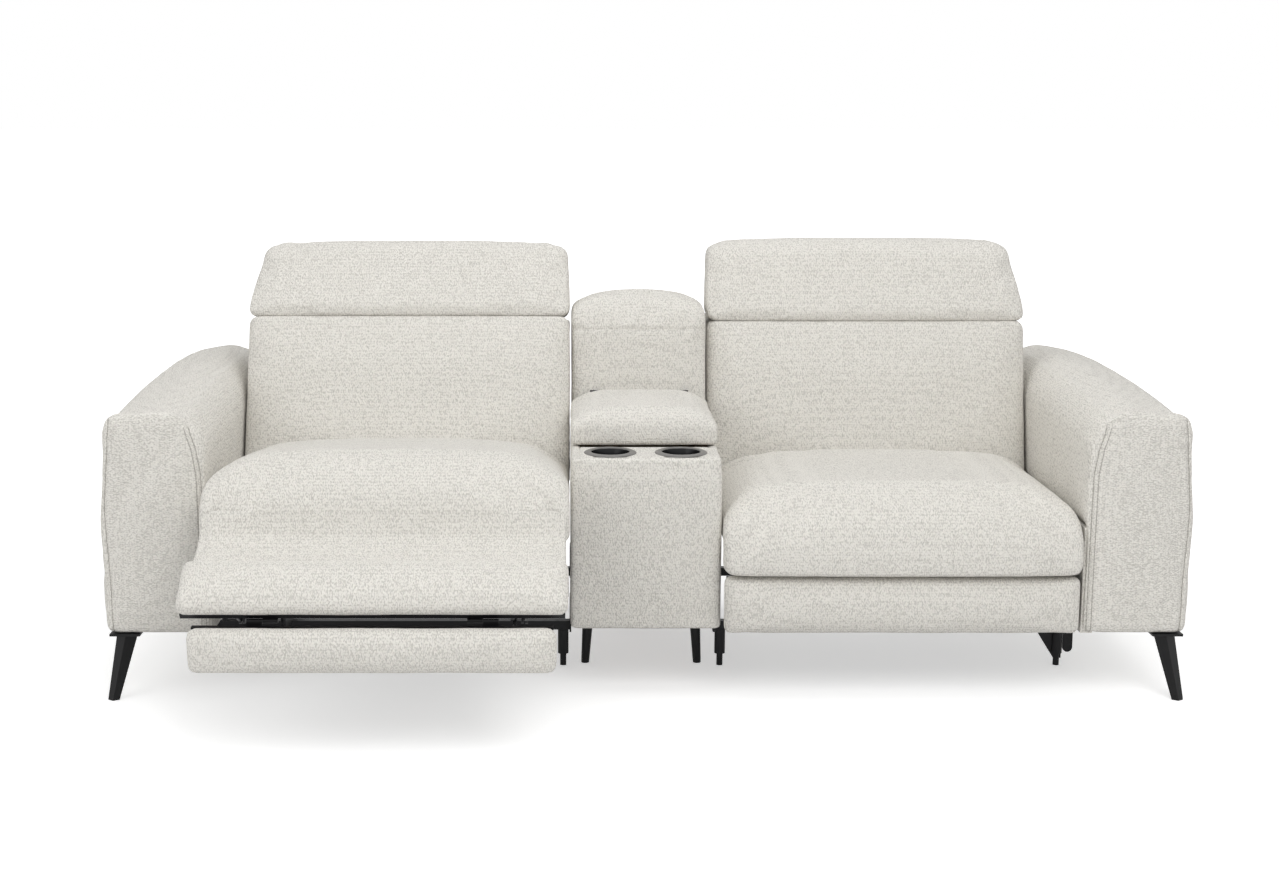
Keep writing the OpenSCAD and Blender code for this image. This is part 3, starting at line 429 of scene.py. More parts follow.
def stuffed(outline: Points, length: float, edge: float, step: float = 12*MM) -> tuple[Points, list]:
    """A closed form: an outline carried along its length, rounded at both ends.

    Args:
        outline: Points of the section.
        length: Length of the form.
        edge: Radius at the two ends.
        step: Distance between rings.

    Returns:
        Points as (along, first, second) rows, with faces.
    """
    ahead, behind = np.roll(outline, -1, 0), np.roll(outline, 1, 0)
    way = ahead - behind
    way /= np.linalg.norm(way, axis=1)[:, None] + 1e-12
    inward = np.stack([-way[:, 1], way[:, 0]], 1)
    turns = np.linspace(0, math.pi/2, 6)
    near = [(edge*(1 - math.cos(t)), edge*(1 - math.sin(t))) for t in turns]
    count = max(2, int((length - 2*edge)/step))
    middle = [(edge + (length - 2*edge)*k/count, 0.0) for k in range(1, count)]
    rings = near + middle + [(length - a, b) for a, b in reversed(near)]
    n = len(outline)
    rows = [np.column_stack([np.full(n, a - length/2), outline + inward*b]) for a, b in rings]
    faces = [(i*n + k, i*n + (k + 1) % n, (i + 1)*n + (k + 1) % n, (i + 1)*n + k)
             for i in range(len(rings) - 1) for k in range(n)]
    faces += [tuple(range(n))[::-1], tuple(range((len(rings) - 1)*n, len(rings)*n))]
    return np.vstack(rows), faces


def ease(value: Points | float, low: float, high: float) -> Points:
    """0 under low, 1 over high, smooth between."""
    share = np.clip((np.asarray(value) - low)/(high - low), 0, 1)
    return share*share*(3 - 2*share)


def swell(piece: Object, held: Points, cap: float, pull: Sequence[float]) -> None:
    """Inflates a cushion with cloth under pressure and keeps the result.

    Args:
        piece: A closed, evenly meshed form.
        held: How firmly each vertex stays, from 0 to 1.
        cap: Furthest that a point may move.
        pull: Share of the movement kept along each axis.
    """
    frames, pressure = 20, 4.0
    scene = bpy.context.scene
    scene.frame_start, scene.frame_end = 1, frames
    scene.frame_set(1)
    rest = coords(piece)
    group = piece.vertex_groups.new(name="held")
    for level in np.unique(np.round(held, 1)):
        if level > 0:
            chosen = np.nonzero(np.round(held, 1) == level)[0]
            group.add([int(i) for i in chosen], float(level), "REPLACE")
    cloth = piece.modifiers.new("swell", "CLOTH")
    cloth.point_cache.frame_start, cloth.point_cache.frame_end = 1, frames
    cloth.settings.use_pressure = True
    cloth.settings.uniform_pressure_force = pressure
    cloth.settings.effector_weights.gravity = 0
    cloth.settings.vertex_group_mass = "held"
    cloth.settings.quality = 4
    cloth.settings.tension_stiffness = cloth.settings.compression_stiffness = 12
    cloth.settings.bending_stiffness = 0.6
    for number in range(1, frames + 1):
        scene.frame_set(number)
    graph = bpy.context.evaluated_depsgraph_get()
    swollen = coords(piece.evaluated_get(graph))
    piece.modifiers.clear()
    piece.vertex_groups.clear()
    scene.frame_set(1)
    move = (swollen - rest)*np.array(pull)
    length = np.linalg.norm(move, axis=1)[:, None] + 1e-9
    set_coords(piece, rest + move*np.minimum(1, cap/length))


def stays(*faces: tuple[int, int, float]) -> Hold:
    """Holds the faces of a cushion that look one of some ways.

    Args:
        faces: Axis, sign and least share of the normal along it, for each way.

    Returns:
        A function of points and normals that is 1 where a vertex stays.
    """
    def hold(points: Points, out: Points) -> Points:
        """1 on any of the faces, else 0."""
        return np.clip(sum((sign*out[:, axis] > share)*1.0 for axis, sign, share in faces), 0, 1)
    return hold


def fit(piece: Object, low: Points, high: Points) -> None:
    """Stretches a form back to the box that it was shaped to."""
    points = coords(piece)
    was = points.min(0)
    set_coords(piece, low + (points - was)*((high - low)/(points.max(0) - was)))


@dataclass(frozen=True)
class Placement:
    """How a piece shaped for the shut right side lies on one side at rest.

    Attributes:
        mirrored: Whether it is carried to the left.
        turn: Its turn in the side view.
        pivot: The pivot on the right, as Y and Z.
        lands: Where that pivot lies on the left.
    """

    mirrored: bool = False
    turn: float = 0.0
    pivot: tuple = (0.0, 0.0)
    lands: tuple = (0.0, 0.0)

    def move(self, points: Points) -> Points:
        """Places points of the right side's piece.

        Args:
            points: The points, one row each.

        Returns:
            The moved points.
        """
        moved = points.copy()
        if not self.mirrored:
            return moved
        c, s = math.cos(self.turn), math.sin(self.turn)
        y, z = points[:, 1] - self.pivot[0], points[:, 2] - self.pivot[1]
        moved[:, 0] = -points[:, 0]
        moved[:, 1] = self.lands[0] + c*y - s*z
        moved[:, 2] = self.lands[1] + s*y + c*z
        return moved


class Seats:
    """Reads from the frame's joints where each body of the left seat lies at rest."""

    PIVOTS = {
        "seat_unit": ("seat_unit_hinge", "back_recline"),
        "footrest": ("footrest_hinge", "flap_hinge"),
        "back": ("back_recline", "headrest_hinge"),
        "headrest": ("back_recline", "headrest_hinge"),
    }

    def __init__(self) -> None:
        """Finds the joints by name."""
        self.joints = {j["name"]: j for j in frame["joints"]}

    def pivot(self, side: Side, joint: str) -> Points:
        """The joint's place in the side view."""
        return np.array(self.joints[f"{side.value}_{joint}"]["pos_m"][1:], float)

    def placement(self, side: Side, body: str) -> Placement:
        """Where a body's pieces go.

        Args:
            side: Left or right.
            body: The body's name without its side, or root.

        Returns:
            The placement of pieces that were shaped for the right.
        """
        if side is Side.RIGHT or body == "root":
            return Placement(side is Side.LEFT)
        if body == "flap":
            carrier = self.placement(side, "footrest")
            opened = math.radians(-self.joints["left_flap_hinge"]["range_deg"][0])
            pivot, lands = self.pivot(Side.RIGHT, "flap_hinge"), self.pivot(side, "flap_hinge")
            return Placement(True, carrier.turn - opened, tuple(pivot), tuple(lands))
        first, second = self.PIVOTS[body]
        was = [self.pivot(Side.RIGHT, j) for j in (first, second)]
        now = [self.pivot(side, j) for j in (first, second)]
        angles = [math.atan2(b[1] - a[1], b[0] - a[0]) for a, b in (was, now)]
        return Placement(True, angles[1] - angles[0], tuple(was[0]), tuple(now[0]))


@dataclass
class Seam:
    """A sewn line that is pressed into a cushion, with its rows of stitches.

    Attributes:
        points: Points beside the surface, which are cast onto it.
        toward: Direction of that cast.
        across: Direction from one row of stitches to the next.
        rows: Offsets of the rows along it.
        depth: How deep the line is pressed in.
        width: Half the width of the groove.
    """

    points: Points
    toward: tuple
    across: tuple = (0, 0, 1)
    rows: tuple = (0.0,)
    depth: float = 3*MM
    width: float = 3.6*MM

    def cast(self, tree: BVHTree, shift: float = 0.0) -> Points:
        """Finds the line on a surface.

        Args:
            tree: The surface.
            shift: How far the line is moved sideways first.

        Returns:
            The line's points, a little above the surface.
        """
        found = []
        for point in self.points + np.array(self.across)*shift:
            hit, normal, _, _ = tree.ray_cast(Vector(point), Vector(self.toward), 0.4)
            if hit is not None:
                found.append(tuple(hit + normal*0.15*MM))
        return np.array(found)

    def press(self, piece: Object) -> None:
        """Presses the line into a piece's mesh.

        Args:
            piece: The piece.
        """
        line = self.cast(surface(piece))
        if len(line) < 2:
            LOG.warning("a seam misses %s", piece.name)
            return
        tree = KDTree(len(line))
        for i, point in enumerate(line):
            tree.insert(point, i)
        tree.balance()
        points, out = coords(piece), normals(piece)
        reach = 3*self.width
        low, high = line.min(0) - reach, line.max(0) + reach
        for i in np.nonzero(((points > low) & (points < high)).all(1))[0]:
            gap = tree.find(points[i])[2]
            points[i] -= out[i]*self.depth*math.exp(-(gap/self.width)**2)
        set_coords(piece, points)


def surface(piece: Object) -> BVHTree:
    """A tree for casting rays onto a piece."""
    polygons = [tuple(p.vertices) for p in piece.data.polygons]
    return BVHTree.FromPolygons([v.co for v in piece.data.vertices], polygons)


class StitchRow:
    """A Geometry Nodes tree that lays thread stitches along paths."""

    def __init__(self, thread: Material) -> None:
        """Builds the tree once.

        Args:
            thread: The stitches' material.
        """
        tree = bpy.data.node_groups.new("stitch_row", "GeometryNodeTree")
        face = tree.interface
        face.new_socket("Path", in_out="INPUT", socket_type="NodeSocketGeometry")
        for name, value in (("Pitch", 7*MM), ("Length", 6.2*MM), ("Radius", 0.9*MM)):
            face.new_socket(name, in_out="INPUT", socket_type="NodeSocketFloat").default_value = value
        face.new_socket("Stitches", in_out="OUTPUT", socket_type="NodeSocketGeometry")
        add = tree.nodes.new
        start, end = add("NodeGroupInput"), add("NodeGroupOutput")
        curve, even = add("GeometryNodeMeshToCurve"), add("GeometryNodeResampleCurve")
        even.mode = "LENGTH"
        tangent, align = add("GeometryNodeInputTangent"), add("FunctionNodeAlignRotationToVector")
        align.axis = "Z"
        bead = add("GeometryNodeMeshCylinder")
        bead.inputs["Vertices"].default_value = 6
        put, real = add("GeometryNodeInstanceOnPoints"), add("GeometryNodeRealizeInstances")
        paint = add("GeometryNodeSetMaterial")
        paint.inputs["Material"].default_value = thread
        wires = (
            (start, "Path", curve, "Mesh"), (curve, "Curve", even, "Curve"), (start, "Pitch", even, "Length"),
            (start, "Radius", bead, "Radius"), (start, "Length", bead, "Depth"),
            (tangent, 0, align, "Vector"), (even, "Curve", put, "Points"), (bead, "Mesh", put, "Instance"),
            (align, 0, put, "Rotation"), (put, 0, real, 0), (real, 0, paint, "Geometry"), (paint, 0, end, 0))
        for source, out, target, into in wires:
            tree.links.new(source.outputs[out], target.inputs[into])
        self.tree = tree

    def sew(self, name: str, rows: Iterable[Points]) -> Object:
        """Makes the stitches along some rows.

        Args:
            name: The piece's name.
            rows: The paths.

        Returns:
            One mesh with every stitch.
        """
        points, edges = [], []
        for row in rows:
            edges += [(len(points) + k, len(points) + k + 1) for k in range(len(row) - 1)]
            points += [tuple(p) for p in row]
        mesh = bpy.data.meshes.new(name)
        mesh.from_pydata(points, edges, [])
        made = add_object(name, mesh)
        made.modifiers.new("stitches", "NODES").node_group = self.tree
        return smooth(settle(made))


LEG_BLACK = (0.004, 0.004, 0.0045, 1)
RIM_GREY = (0.14, 0.135, 0.128, 1)
WELL_BLACK = (0.004, 0.004, 0.005, 1)
DRIVE_BLACK = (0.02, 0.02, 0.022, 1)
THREAD_GREY = (0.38, 0.362, 0.33, 1)


@dataclass
class Finishes:
    """Every finish, made once."""

    upright: Material = field(default_factory=BoucleCloth("oat_cloth_up", Pile.UP).make)
    across: Material = field(default_factory=BoucleCloth("oat_cloth_across", Pile.ACROSS).make)
    steel: Material = field(default_factory=SatinSteel().make)
    legs: Material = field(default_factory=SatinSteel("leg_black", LEG_BLACK, roughness=0.4).make)
    wire: Material = field(default_factory=DrawnWire().make)
    timber: Material = field(default_factory=PaleTimber().make)
    bezel: Material = field(default_factory=Moulding("satin_grey", RIM_GREY, roughness=0.3).make)
    well: Material = field(default_factory=Moulding("gloss_black", WELL_BLACK, 0.14, specular=0.3).make)
    housing: Material = field(default_factory=Moulding("drive_black", DRIVE_BLACK, roughness=0.5).make)
    thread: Material = field(default_factory=Moulding("thread", THREAD_GREY, roughness=0.8).make)


class Upholstery:
    """Turns shaped forms into finished cushions on the frame's bodies."""

    def __init__(self, finishes: Finishes, seats: Seats) -> None:
        """Keeps what every cushion needs."""
        self.finishes = finishes
        self.seats = seats
        self.stitches = StitchRow(finishes.thread)

    def form(self, name: str, outline: Points, length: float, edge: float, shape: Shape,
             voxel: float = 8*MM, cap: float = 0.0, pull: Sequence[float] = (0.1, 1, 1),
             hold: Hold | None = None,
             seams: Sequence[Seam] = (), rumple: float = 0.8*MM) -> Object:
        """Shapes one cushion.

        Args:
            name: The piece's name.
            outline: Section of the form.
            length: Length along the sweep.
            edge: Radius at its ends.
            shape: Turns (along, first, second) into x, y and z with any crown.
            voxel: Size of the even mesh.
            cap: Furthest swell of the cloth, or 0 for none.
            pull: Share of the swell kept along each axis.
            hold: From points and normals, how firmly each vertex stays.
            seams: Sewn lines to press in.
            rumple: Height of the cloth's slow unevenness.

        Returns:
            The finished form.
        """
        raw, faces = stuffed(outline, length, edge)
        raw = np.column_stack(shape(*raw.T))
        piece = mesh_object(name, raw, faces)
        modify(piece, "REMESH", mode="VOXEL", voxel_size=voxel)
        modify(piece, "SMOOTH", iterations=4, factor=0.5)
        if cap:
            held = hold(coords(piece), normals(piece)) if hold else np.zeros(len(piece.data.vertices))
            swell(piece, held, cap, pull)
            modify(piece, "SMOOTH", iterations=2, factor=0.5)
        if voxel > COARSE:
            modify(piece, "SUBSURF", levels=1, render_levels=1)
        fit(piece, raw.min(0), raw.max(0))
        if rumple:
            points, out = coords(piece), normals(piece)
            slow, fast = 11, 27
            lift = [noise.noise(Vector(p)*slow) + 0.5*noise.noise(Vector(p)*fast) for p in points]
            set_coords(piece, points + out*(np.array(lift)*rumple)[:, None])
        for seam in seams:
            seam.press(piece)
        return smooth(piece)

    def finish(self, piece: Object, body: str, nodes: Sequence[str],
               seams: Sequence[Seam] = (), fill: float = 0.8) -> None:
        """Dresses a form, sews it and puts it on its body.

        Args:
            piece: The form.
            body: The body that carries it.
            nodes: The CAD nodes that it replaces.
            seams: Its sewn lines.
            fill: How tight the cushion is; not used.
        """
        piece.data.materials.clear()
        piece.data.materials.append(self.finishes.upright)
        if seams:
            tree = surface(piece)
            rows = [seam.cast(tree, shift) for seam in seams for shift in seam.rows]
            sewn = self.stitches.sew(piece.name + "_stitches", [r for r in rows if len(r) > 1])
            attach(sewn, body)
        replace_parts(piece, *nodes)
        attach(piece, body)
        LOG.info("%s: %d faces on %s", piece.name, len(piece.data.polygons), body)

    def pair(self, piece: Object, body: str, node: str, seams: Sequence[Seam] = (),
             fill: float = 0.8) -> list[Object]:
        """Puts a form that was shaped for the right on both sides.

        Args:
            piece: The form, named without its side.
            body: The body's name without its side, or root.
            node: The CAD node's name without its side.
            seams: Its sewn lines.
            fill: How tight the cushion is.

        Returns:
            The right piece and the left one.
        """
        bare = piece.name
        other = add_object(bare, piece.data.copy())
        for side, made in ((Side.RIGHT, piece), (Side.LEFT, other)):
            spot = self.seats.placement(side, body)
            made.name = f"{side.value}_{bare}_cloth"
            set_coords(made, spot.move(coords(made)))
            if spot.mirrored:
                made.data.flip_normals()
            moved = [self.carried(seam, spot) for seam in seams]
            carrier = body if body == "root" else f"{side.value}_{body}"
            self.finish(made, carrier, [f"{side.value}_{node}"], moved, fill)
        return [piece, other]

    @staticmethod
    def carried(seam: Seam, spot: Placement) -> Seam:
        """A seam that goes with its piece to the other side."""
        zero = spot.move(np.zeros((1, 3)))
        toward, across = (spot.move(np.array([v], float))[0] - zero[0] for v in (seam.toward, seam.across))
        return Seam(spot.move(seam.points), tuple(toward), tuple(across), seam.rows, seam.depth, seam.width)


UNDERSIDE = (2, -1, 0.5)
REAR_AND_FOOT = stays((1, 1, 0.5), UNDERSIDE)
SEAM_OFF = 0.1  # how far ahead of a front its seams' casts start


def level_seam(run: Points, y: float, z: float, **settings: object) -> Seam:
    """A level seam across a front.

    Args:
        run: Its points' places along X.
        y: Where its cast starts, ahead of the surface.
        z: Its height.
        settings: The seam's other values.

    Returns:
        The seam.
    """
    line = np.column_stack([run, np.full(len(run), y), np.full(len(run), z)])
    return Seam(line, (0, 1, 0), **settings)


def side_shape(middle: float, up: float = 0.0, fwd: float = 0.0, power: float = 2.4,
               shoulder: float = 0.0, shoulder_w: float = 80*MM) -> Shape:
    """A seat piece's shape: the sweep runs along X and the section lies in the side view.

    Args:
        middle: X of the piece's middle.
        up: Swell of its top at the middle.
        fwd: Swell of its front at the middle.
        power: How square the swell is.
        shoulder: Fall of the top towards its two side edges.
        shoulder_w: Width of that fall.

    Returns:
        The shape's function.
    """
    def shape(x: Points, y: Points, z: Points) -> tuple[Points, Points, Points]:
        """Places (along, y, z) with the swell."""
        half = np.abs(x).max()
        lift = 1 - np.abs(x/half)**power
        top = np.clip((z - (z.min() + z.max())/2)/((z.max() - z.min())/2), 0, 1)
        front = np.clip(((y.min() + y.max())/2 - y)/((y.max() - y.min())/2), 0, 1)
        fall = shoulder*ease(np.abs(x), half - shoulder_w, half)**1.5
        return x + middle, y - fwd*lift*front, z + up*lift*top - fall*top
    return shape


@dataclass
class SeatSet:
    """Both seats' cushions, shaped once for the right seat and mirrored."""

    work: Upholstery
    seam_up: float = 33*MM
    roll_foot: float = 0.3305
    roll_back: float = -0.2125
    crown: float = 44*MM
    seat_bulge: float = 10*MM
    spread: float = 2.5*MM

    def __post_init__(self) -> None:
        """Reads the right seat's size from the frame."""
        self.low, self.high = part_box("right_seat_cushion")
        self.middle = (self.low.x + self.high.x)/2
        self.width = self.high.x - self.low.x + 2*self.spread

    def seat(self) -> None:
        """The seat cushion, with its roll at the front and a sewn line over the roll's edge."""
        low, high, mid = self.low, self.high, self.middle
        front, top = low.y + self.seat_bulge, high.z - self.crown
        outline = arc_outline([
            (high.y, self.roll_foot, 22*MM), (high.y, top, 30*MM), (front, top, 88*MM), (front, low.z, 16*MM),
            (self.roll_back, low.z, 16*MM), (self.roll_back, self.roll_foot, 6*MM)])
        run = np.linspace(low.x + 4*MM, high.x - 4*MM, 180)
        seam = level_seam(run, front - SEAM_OFF, low.z + self.seam_up, rows=(), depth=1.6*MM)
        shape = side_shape(mid, up=self.crown, fwd=self.seat_bulge, power=4.0, shoulder=8*MM, shoulder_w=60*MM)

        def hold(points: Points, out: Points) -> Points:
            """The underside and the sewn line stay."""
            under = (out[:, 2] < -0.5).astype(float)
            line = np.exp(-((points[:, 2] - seam.points[0, 2])/(8*MM))**2)*(out[:, 1] < -0.3)
            return np.clip(under + line, 0, 1)

        piece = self.work.form("seat", outline, self.width, edge=20*MM, shape=shape, voxel=9*MM, cap=14*MM,
                               pull=(0.12, 0.7, 0.8), hold=hold, seams=[seam])
        self.work.pair(piece, "seat_unit", "seat_cushion")

    def back(self) -> None:
        """The back cushion with the cover behind its board."""
        low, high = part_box("right_back_cushion")
        foot, top = low.z, high.z + 4*MM
        seat_zero, back_front, lean = -0.2585, 0.518, 84*MM
        front_low = seat_zero + back_front
        back_t, top_t = 168*MM, 142*MM
        outline = arc_outline([
            (front_low, foot, 24*MM), (front_low + back_t, foot, 22*MM),
            (front_low + lean + top_t, top, 20*MM), (front_low + lean, top, 9*MM)])
        shape = side_shape(self.middle, fwd=24*MM, power=3.0)
        rear_foot_and_top = stays((1, 1, 0.4), (2, 1, 0.6), (2, -1, 0.6))
        piece = self.work.form("back", outline, self.width, edge=18*MM, shape=shape, voxel=9*MM, cap=12*MM,
                               pull=(0.1, 1, 0.3), hold=rear_foot_and_top)
        self.work.pair(piece, "back", "back_cushion")
        gap, pad = 20.6*MM, 20*MM
        cover = arc_outline([
            (front_low + back_t + gap, foot, 6*MM), (front_low + back_t + gap + pad, foot, 6*MM),
            (front_low + lean + top_t + gap + pad, top, 6*MM), (front_low + lean + top_t + gap, top, 6*MM)])
        shape = side_shape(self.middle)
        piece = self.work.form("back_rear", cover, self.width, edge=8*MM, shape=shape, voxel=6*MM)
        self.work.pair(piece, "back", "back_cushion", fill=0.3)

    def headrest(self) -> None:
        """The raised headrest."""
        low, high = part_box("right_headrest_cushion")
        foot, top = low.z - 4*MM, high.z - 7*MM
        front, lean, foot_t, top_t = 0.3455, 76*MM, 120*MM, 104*MM
        outline = arc_outline([
            (front, foot, 9*MM), (front + foot_t, foot, 20*MM),
            (front + lean + top_t, top, 34*MM), (front + lean, top, 42*MM)])
        plain = side_shape(self.middle, up=8*MM, fwd=8*MM, power=3.0, shoulder=12*MM, shoulder_w=70*MM)
        taper_out, taper_in = 27*MM, 5*MM

        def shape(x: Points, y: Points, z: Points) -> tuple[Points, Points, Points]:
            """Draws the top in, more at the arm's side than at the console's."""
            wide, deep, high_up = plain(x, y, z)
            share = x/np.abs(x).max()
            draw = np.where(share > 0, taper_out, taper_in)*share*ease(z, foot, top)
            return wide - draw, deep, high_up

        piece = self.work.form("headrest", outline, self.width, edge=20*MM, shape=shape, voxel=8*MM, cap=7*MM,
                               pull=(0.1, 1, 0.5), hold=REAR_AND_FOOT)
        self.work.pair(piece, "headrest", "headrest_cushion")

    def pads(self) -> None:
        """The footrest pad and the flap's pad."""
        for name, belly in (("footrest", 19*MM), ("flap", 10*MM)):
            low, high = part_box(f"right_{name}_pad")
            inner, edge = 7*MM, 15*MM
            faced = name == "footrest"
            front_r, rear_r = (edge, inner) if faced else (inner, edge)
            outline = box_outline((low.y, low.z), (high.y, high.z), (front_r, rear_r, rear_r, front_r), 6*MM)
            plain = side_shape((low.x + high.x)/2)

            def shape(x: Points, y: Points, z: Points, belly: float = belly, faced: bool = faced,
                      low: Vector = low, high: Vector = high) -> tuple[Points, Points, Points]:
                """Rounds the pad's face out between its edges."""
                wide, deep, high_up = plain(x, y, z)
                across = 1 - np.abs(2*(z - low.z)/(high.z - low.z) - 1)**2.2
                along = 1 - np.abs(x/np.abs(x).max())**14
                face = ease(y, high.y, low.y) if faced else ease(y, low.y, high.y)
                return wide, deep + (-belly if faced else belly)*across*along*face, high_up

            on_board = stays((1, 1 if faced else -1, 0.6))
            piece = self.work.form(f"{name}_pad", outline, high.x - low.x, edge=15*MM, shape=shape,
                                   voxel=6*MM, cap=5*MM, pull=(0.2, 0.8, 0.3), hold=on_board)
            self.work.pair(piece, name, f"{name}_pad")


@dataclass
class Bridge:
    """The cloth between the open seat's roll and its footrest pad."""

    work: Upholstery
    inset: float = 5*MM
    thick: float = 1.6*MM
    tuck: float = 25*MM
    rows: int = 26
    columns: int = 150
    edge_droop: float = 9*MM
    middle_sag: float = 2.5*MM
    rumple: float = 1.6*MM
    route: tuple = ((-0.380, 0.440), (-0.3905, 0.415), (-0.402, 0.394), (-0.430, 0.377), (-0.470, 0.364),
                    (-0.503, 0.354), (-0.522, 0.348), (-0.531, 0.340))

    def build(self) -> None:
        """A tight sheet between the left seat's roll and its open footrest pad, carried by the seat unit."""
        low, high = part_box("left_seat_cushion")
        way = np.array(self.route)
        run = np.concatenate([[0], np.cumsum(np.linalg.norm(np.diff(way, axis=0), axis=1))])
        steps = np.linspace(0, run[-1], self.rows)
        y, z = np.interp(steps, run, way[:, 0]), np.interp(steps, run, way[:, 1])
        width = high.x - low.x - 2*self.inset
        across = np.linspace(low.x + self.inset, high.x - self.inset, self.columns)
        points, count = [], len(across)
        for j in range(len(steps)):
            side = np.abs(across - across.mean())/(width/2)
            droop = self.edge_droop*ease(side, 0.93, 1.0)
            sag = self.middle_sag*math.sin(math.pi*j/(self.rows - 1))*(1 - side**4)
            points += [(x, y[j] + d*0.6, z[j] - d - g) for x, d, g in zip(across, droop, sag)]
        faces = [(j*count + k, j*count + k + 1, (j + 1)*count + k + 1, (j + 1)*count + k)
                 for j in range(len(steps) - 1) for k in range(count - 1)]
        piece = mesh_object("left_bridge_cloth", np.array(points), faces)
        piece.data.flip_normals()
        rough = np.array([noise.noise(Vector(p)*13) for p in points])*self.rumple
        set_coords(piece, coords(piece) + normals(piece)*rough[:, None])
        modify(piece, "SOLIDIFY", thickness=self.thick, offset=0)
        smooth(piece).data.materials.append(self.work.finishes.upright)
        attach(piece, "left_seat_unit")
        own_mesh(piece)
        LOG.info("left_bridge_cloth: %.0f x %.0f mm", width/MM, run[-1]/MM)


@dataclass
class Arms:
    """The two arms, each one soft form with a sewn panel at its front."""

    work: Upholstery
    inner_r: float = 96*MM
    outer_r: float = 58*MM
    fall: float = 34*MM
    step_in: float = 26*MM
    ear: float = 15*MM
    panel_d: float = 24*MM
    height: float = 0.600
    inner_top: float = 0.583
    outer_line: tuple = ((0.150, -31*MM), (0.260, -28*MM), (0.340, -24*MM), (0.420, -21*MM), (0.500, -28*MM),
                         (0.600, -37*MM))
    inner_line: tuple = ((0.150, 9*MM), (0.440, 10*MM), (0.490, 11*MM), (0.540, 19*MM), (0.583, 33*MM))

    def shape_for(self, low: Vector, high: Vector) -> Shape:
        """The arm's shape: the sweep runs along Y and the section lies in the front view.

        Args:
            low: Lowest corner of the right arm's box.
            high: Its highest corner.

        Returns:
            The shape's function.
        """
        crown, rise, length, nose_drop = 20*MM, 24*MM, high.y - low.y, 14*MM
        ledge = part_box("arm_frames")[1].z
        corner, reach = Vector((high.x - 24*MM, self.height)), 34*MM

        def shape(along: Points, x: Points, z: Points) -> tuple[Points, Points, Points]:
            """Places (along, x, z) with crown, rise, the rounded nose and the panel's ear."""
            share = along/length + 0.5
            top = np.clip((z - (z.min() + z.max())/2)/((z.max() - z.min())/2), 0, 1)
            lift = crown*(1 - np.abs(2*share - 1)**2.4) + rise*share
            ahead = 1 - ease(along + length/2, 4*MM, 70*MM)
            drop = nose_drop*ahead**2*ease(x, low.x + 60*MM, low.x)
            near = np.exp(-((x - corner.x)**2 + (z - corner.y)**2)/reach**2)*ahead
            cover = (1 - ease(along + length/2, 14*MM, 22*MM))*ease(z, ledge + 12*MM, ledge + 2*MM)
            beyond = np.clip((x - low.x)/self.step_in, 0, 1)
            x = x - self.step_in*cover*beyond*ease(x, low.x + 90*MM, low.x + 38*MM)
            return x + self.ear*0.5*near, along + (low.y + high.y)/2, z + (lift - drop)*top + self.ear*near
        return shape

    def outline(self, low: Vector, high: Vector) -> Points:
        """The arm's section, counter-clockwise in the front view.

        Args:
            low: Lowest corner of the right arm's box.
            high: Its highest corner.

        Returns:
            The section's points.
        """
        foot_in, bulge = 8*MM, 19*MM
        width, step = high.x - low.x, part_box("arm_frames")[1].z + 0.3*MM
        return arc_outline([
            (low.x + self.step_in, low.z, 12*MM), (high.x - foot_in, low.z, 18*MM),
            (high.x, low.z + width, 0.24), (high.x - bulge, self.height, self.outer_r),
            (low.x, self.height + self.fall, self.inner_r),
            (low.x, step, 5*MM), (low.x + self.step_in, step, 5*MM)])

    def build(self) -> None:
        """Both arms."""
        low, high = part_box("right_arm_cover")
        count, curl_count = 170, 30
        heights = np.linspace(low.z + 5*MM, self.height, count)
        inner_heights = np.linspace(low.z + 5*MM, self.inner_top, count)
        outer = high.x + np.interp(heights, *zip(*self.outer_line))
        inner = low.x + np.interp(inner_heights, *zip(*self.inner_line))
        ahead = np.full(count, low.y - SEAM_OFF)
        curl = np.linspace(0, 1, curl_count)
        fold = np.column_stack([low.x + 33*MM + 22*MM*curl, ahead[:curl_count],
                                self.inner_top + 17*MM*curl**0.6])
        inward, sideways = (0, 1, 0), (1, 0, 0)
        seams = [Seam(np.column_stack([outer, ahead, heights]), inward, sideways),
                 Seam(np.column_stack([inner, ahead, inner_heights]), inward, sideways, rows=(0.0, 9*MM)),
                 Seam(fold, inward, sideways, rows=(), depth=4*MM, width=5*MM)]

        underside_and_inner = stays(UNDERSIDE, (0, -1, 0.6))
        outline, shape = self.outline(low, high), self.shape_for(low, high)
        form = self.work.form("arm", outline, high.y - low.y, edge=12*MM, shape=shape, voxel=9*MM, cap=7*MM,
                              pull=(0.6, 0.6, 0.8), hold=underside_and_inner, seams=seams)
        for made in self.work.pair(form, "root", "arm_cover", seams, fill=0.6):
            self.panel(made, low, high)

    def panel(self, piece: Object, low: Vector, high: Vector) -> None:
        """Gives the front panel, inside its seams, the cloth with its slubs lying across.

        Args:
            piece: One arm.
            low: Lowest corner of the right arm's box.
            high: Its highest corner.
        """
        piece.data.materials.append(self.work.finishes.across)
        centres = np.empty(len(piece.data.polygons)*3)
        piece.data.polygons.foreach_get("center", centres)
        x, y, z = centres.reshape(-1, 3).T
        x = np.abs(x)
        outer, inner = (np.interp(z, *zip(*line)) for line in (self.outer_line, self.inner_line))
        chosen = (x < high.x + outer) & (x > low.x + inner) & (y < low.y + self.panel_d)
        piece.data.polygons.foreach_set("material_index", chosen.astype(np.int32))


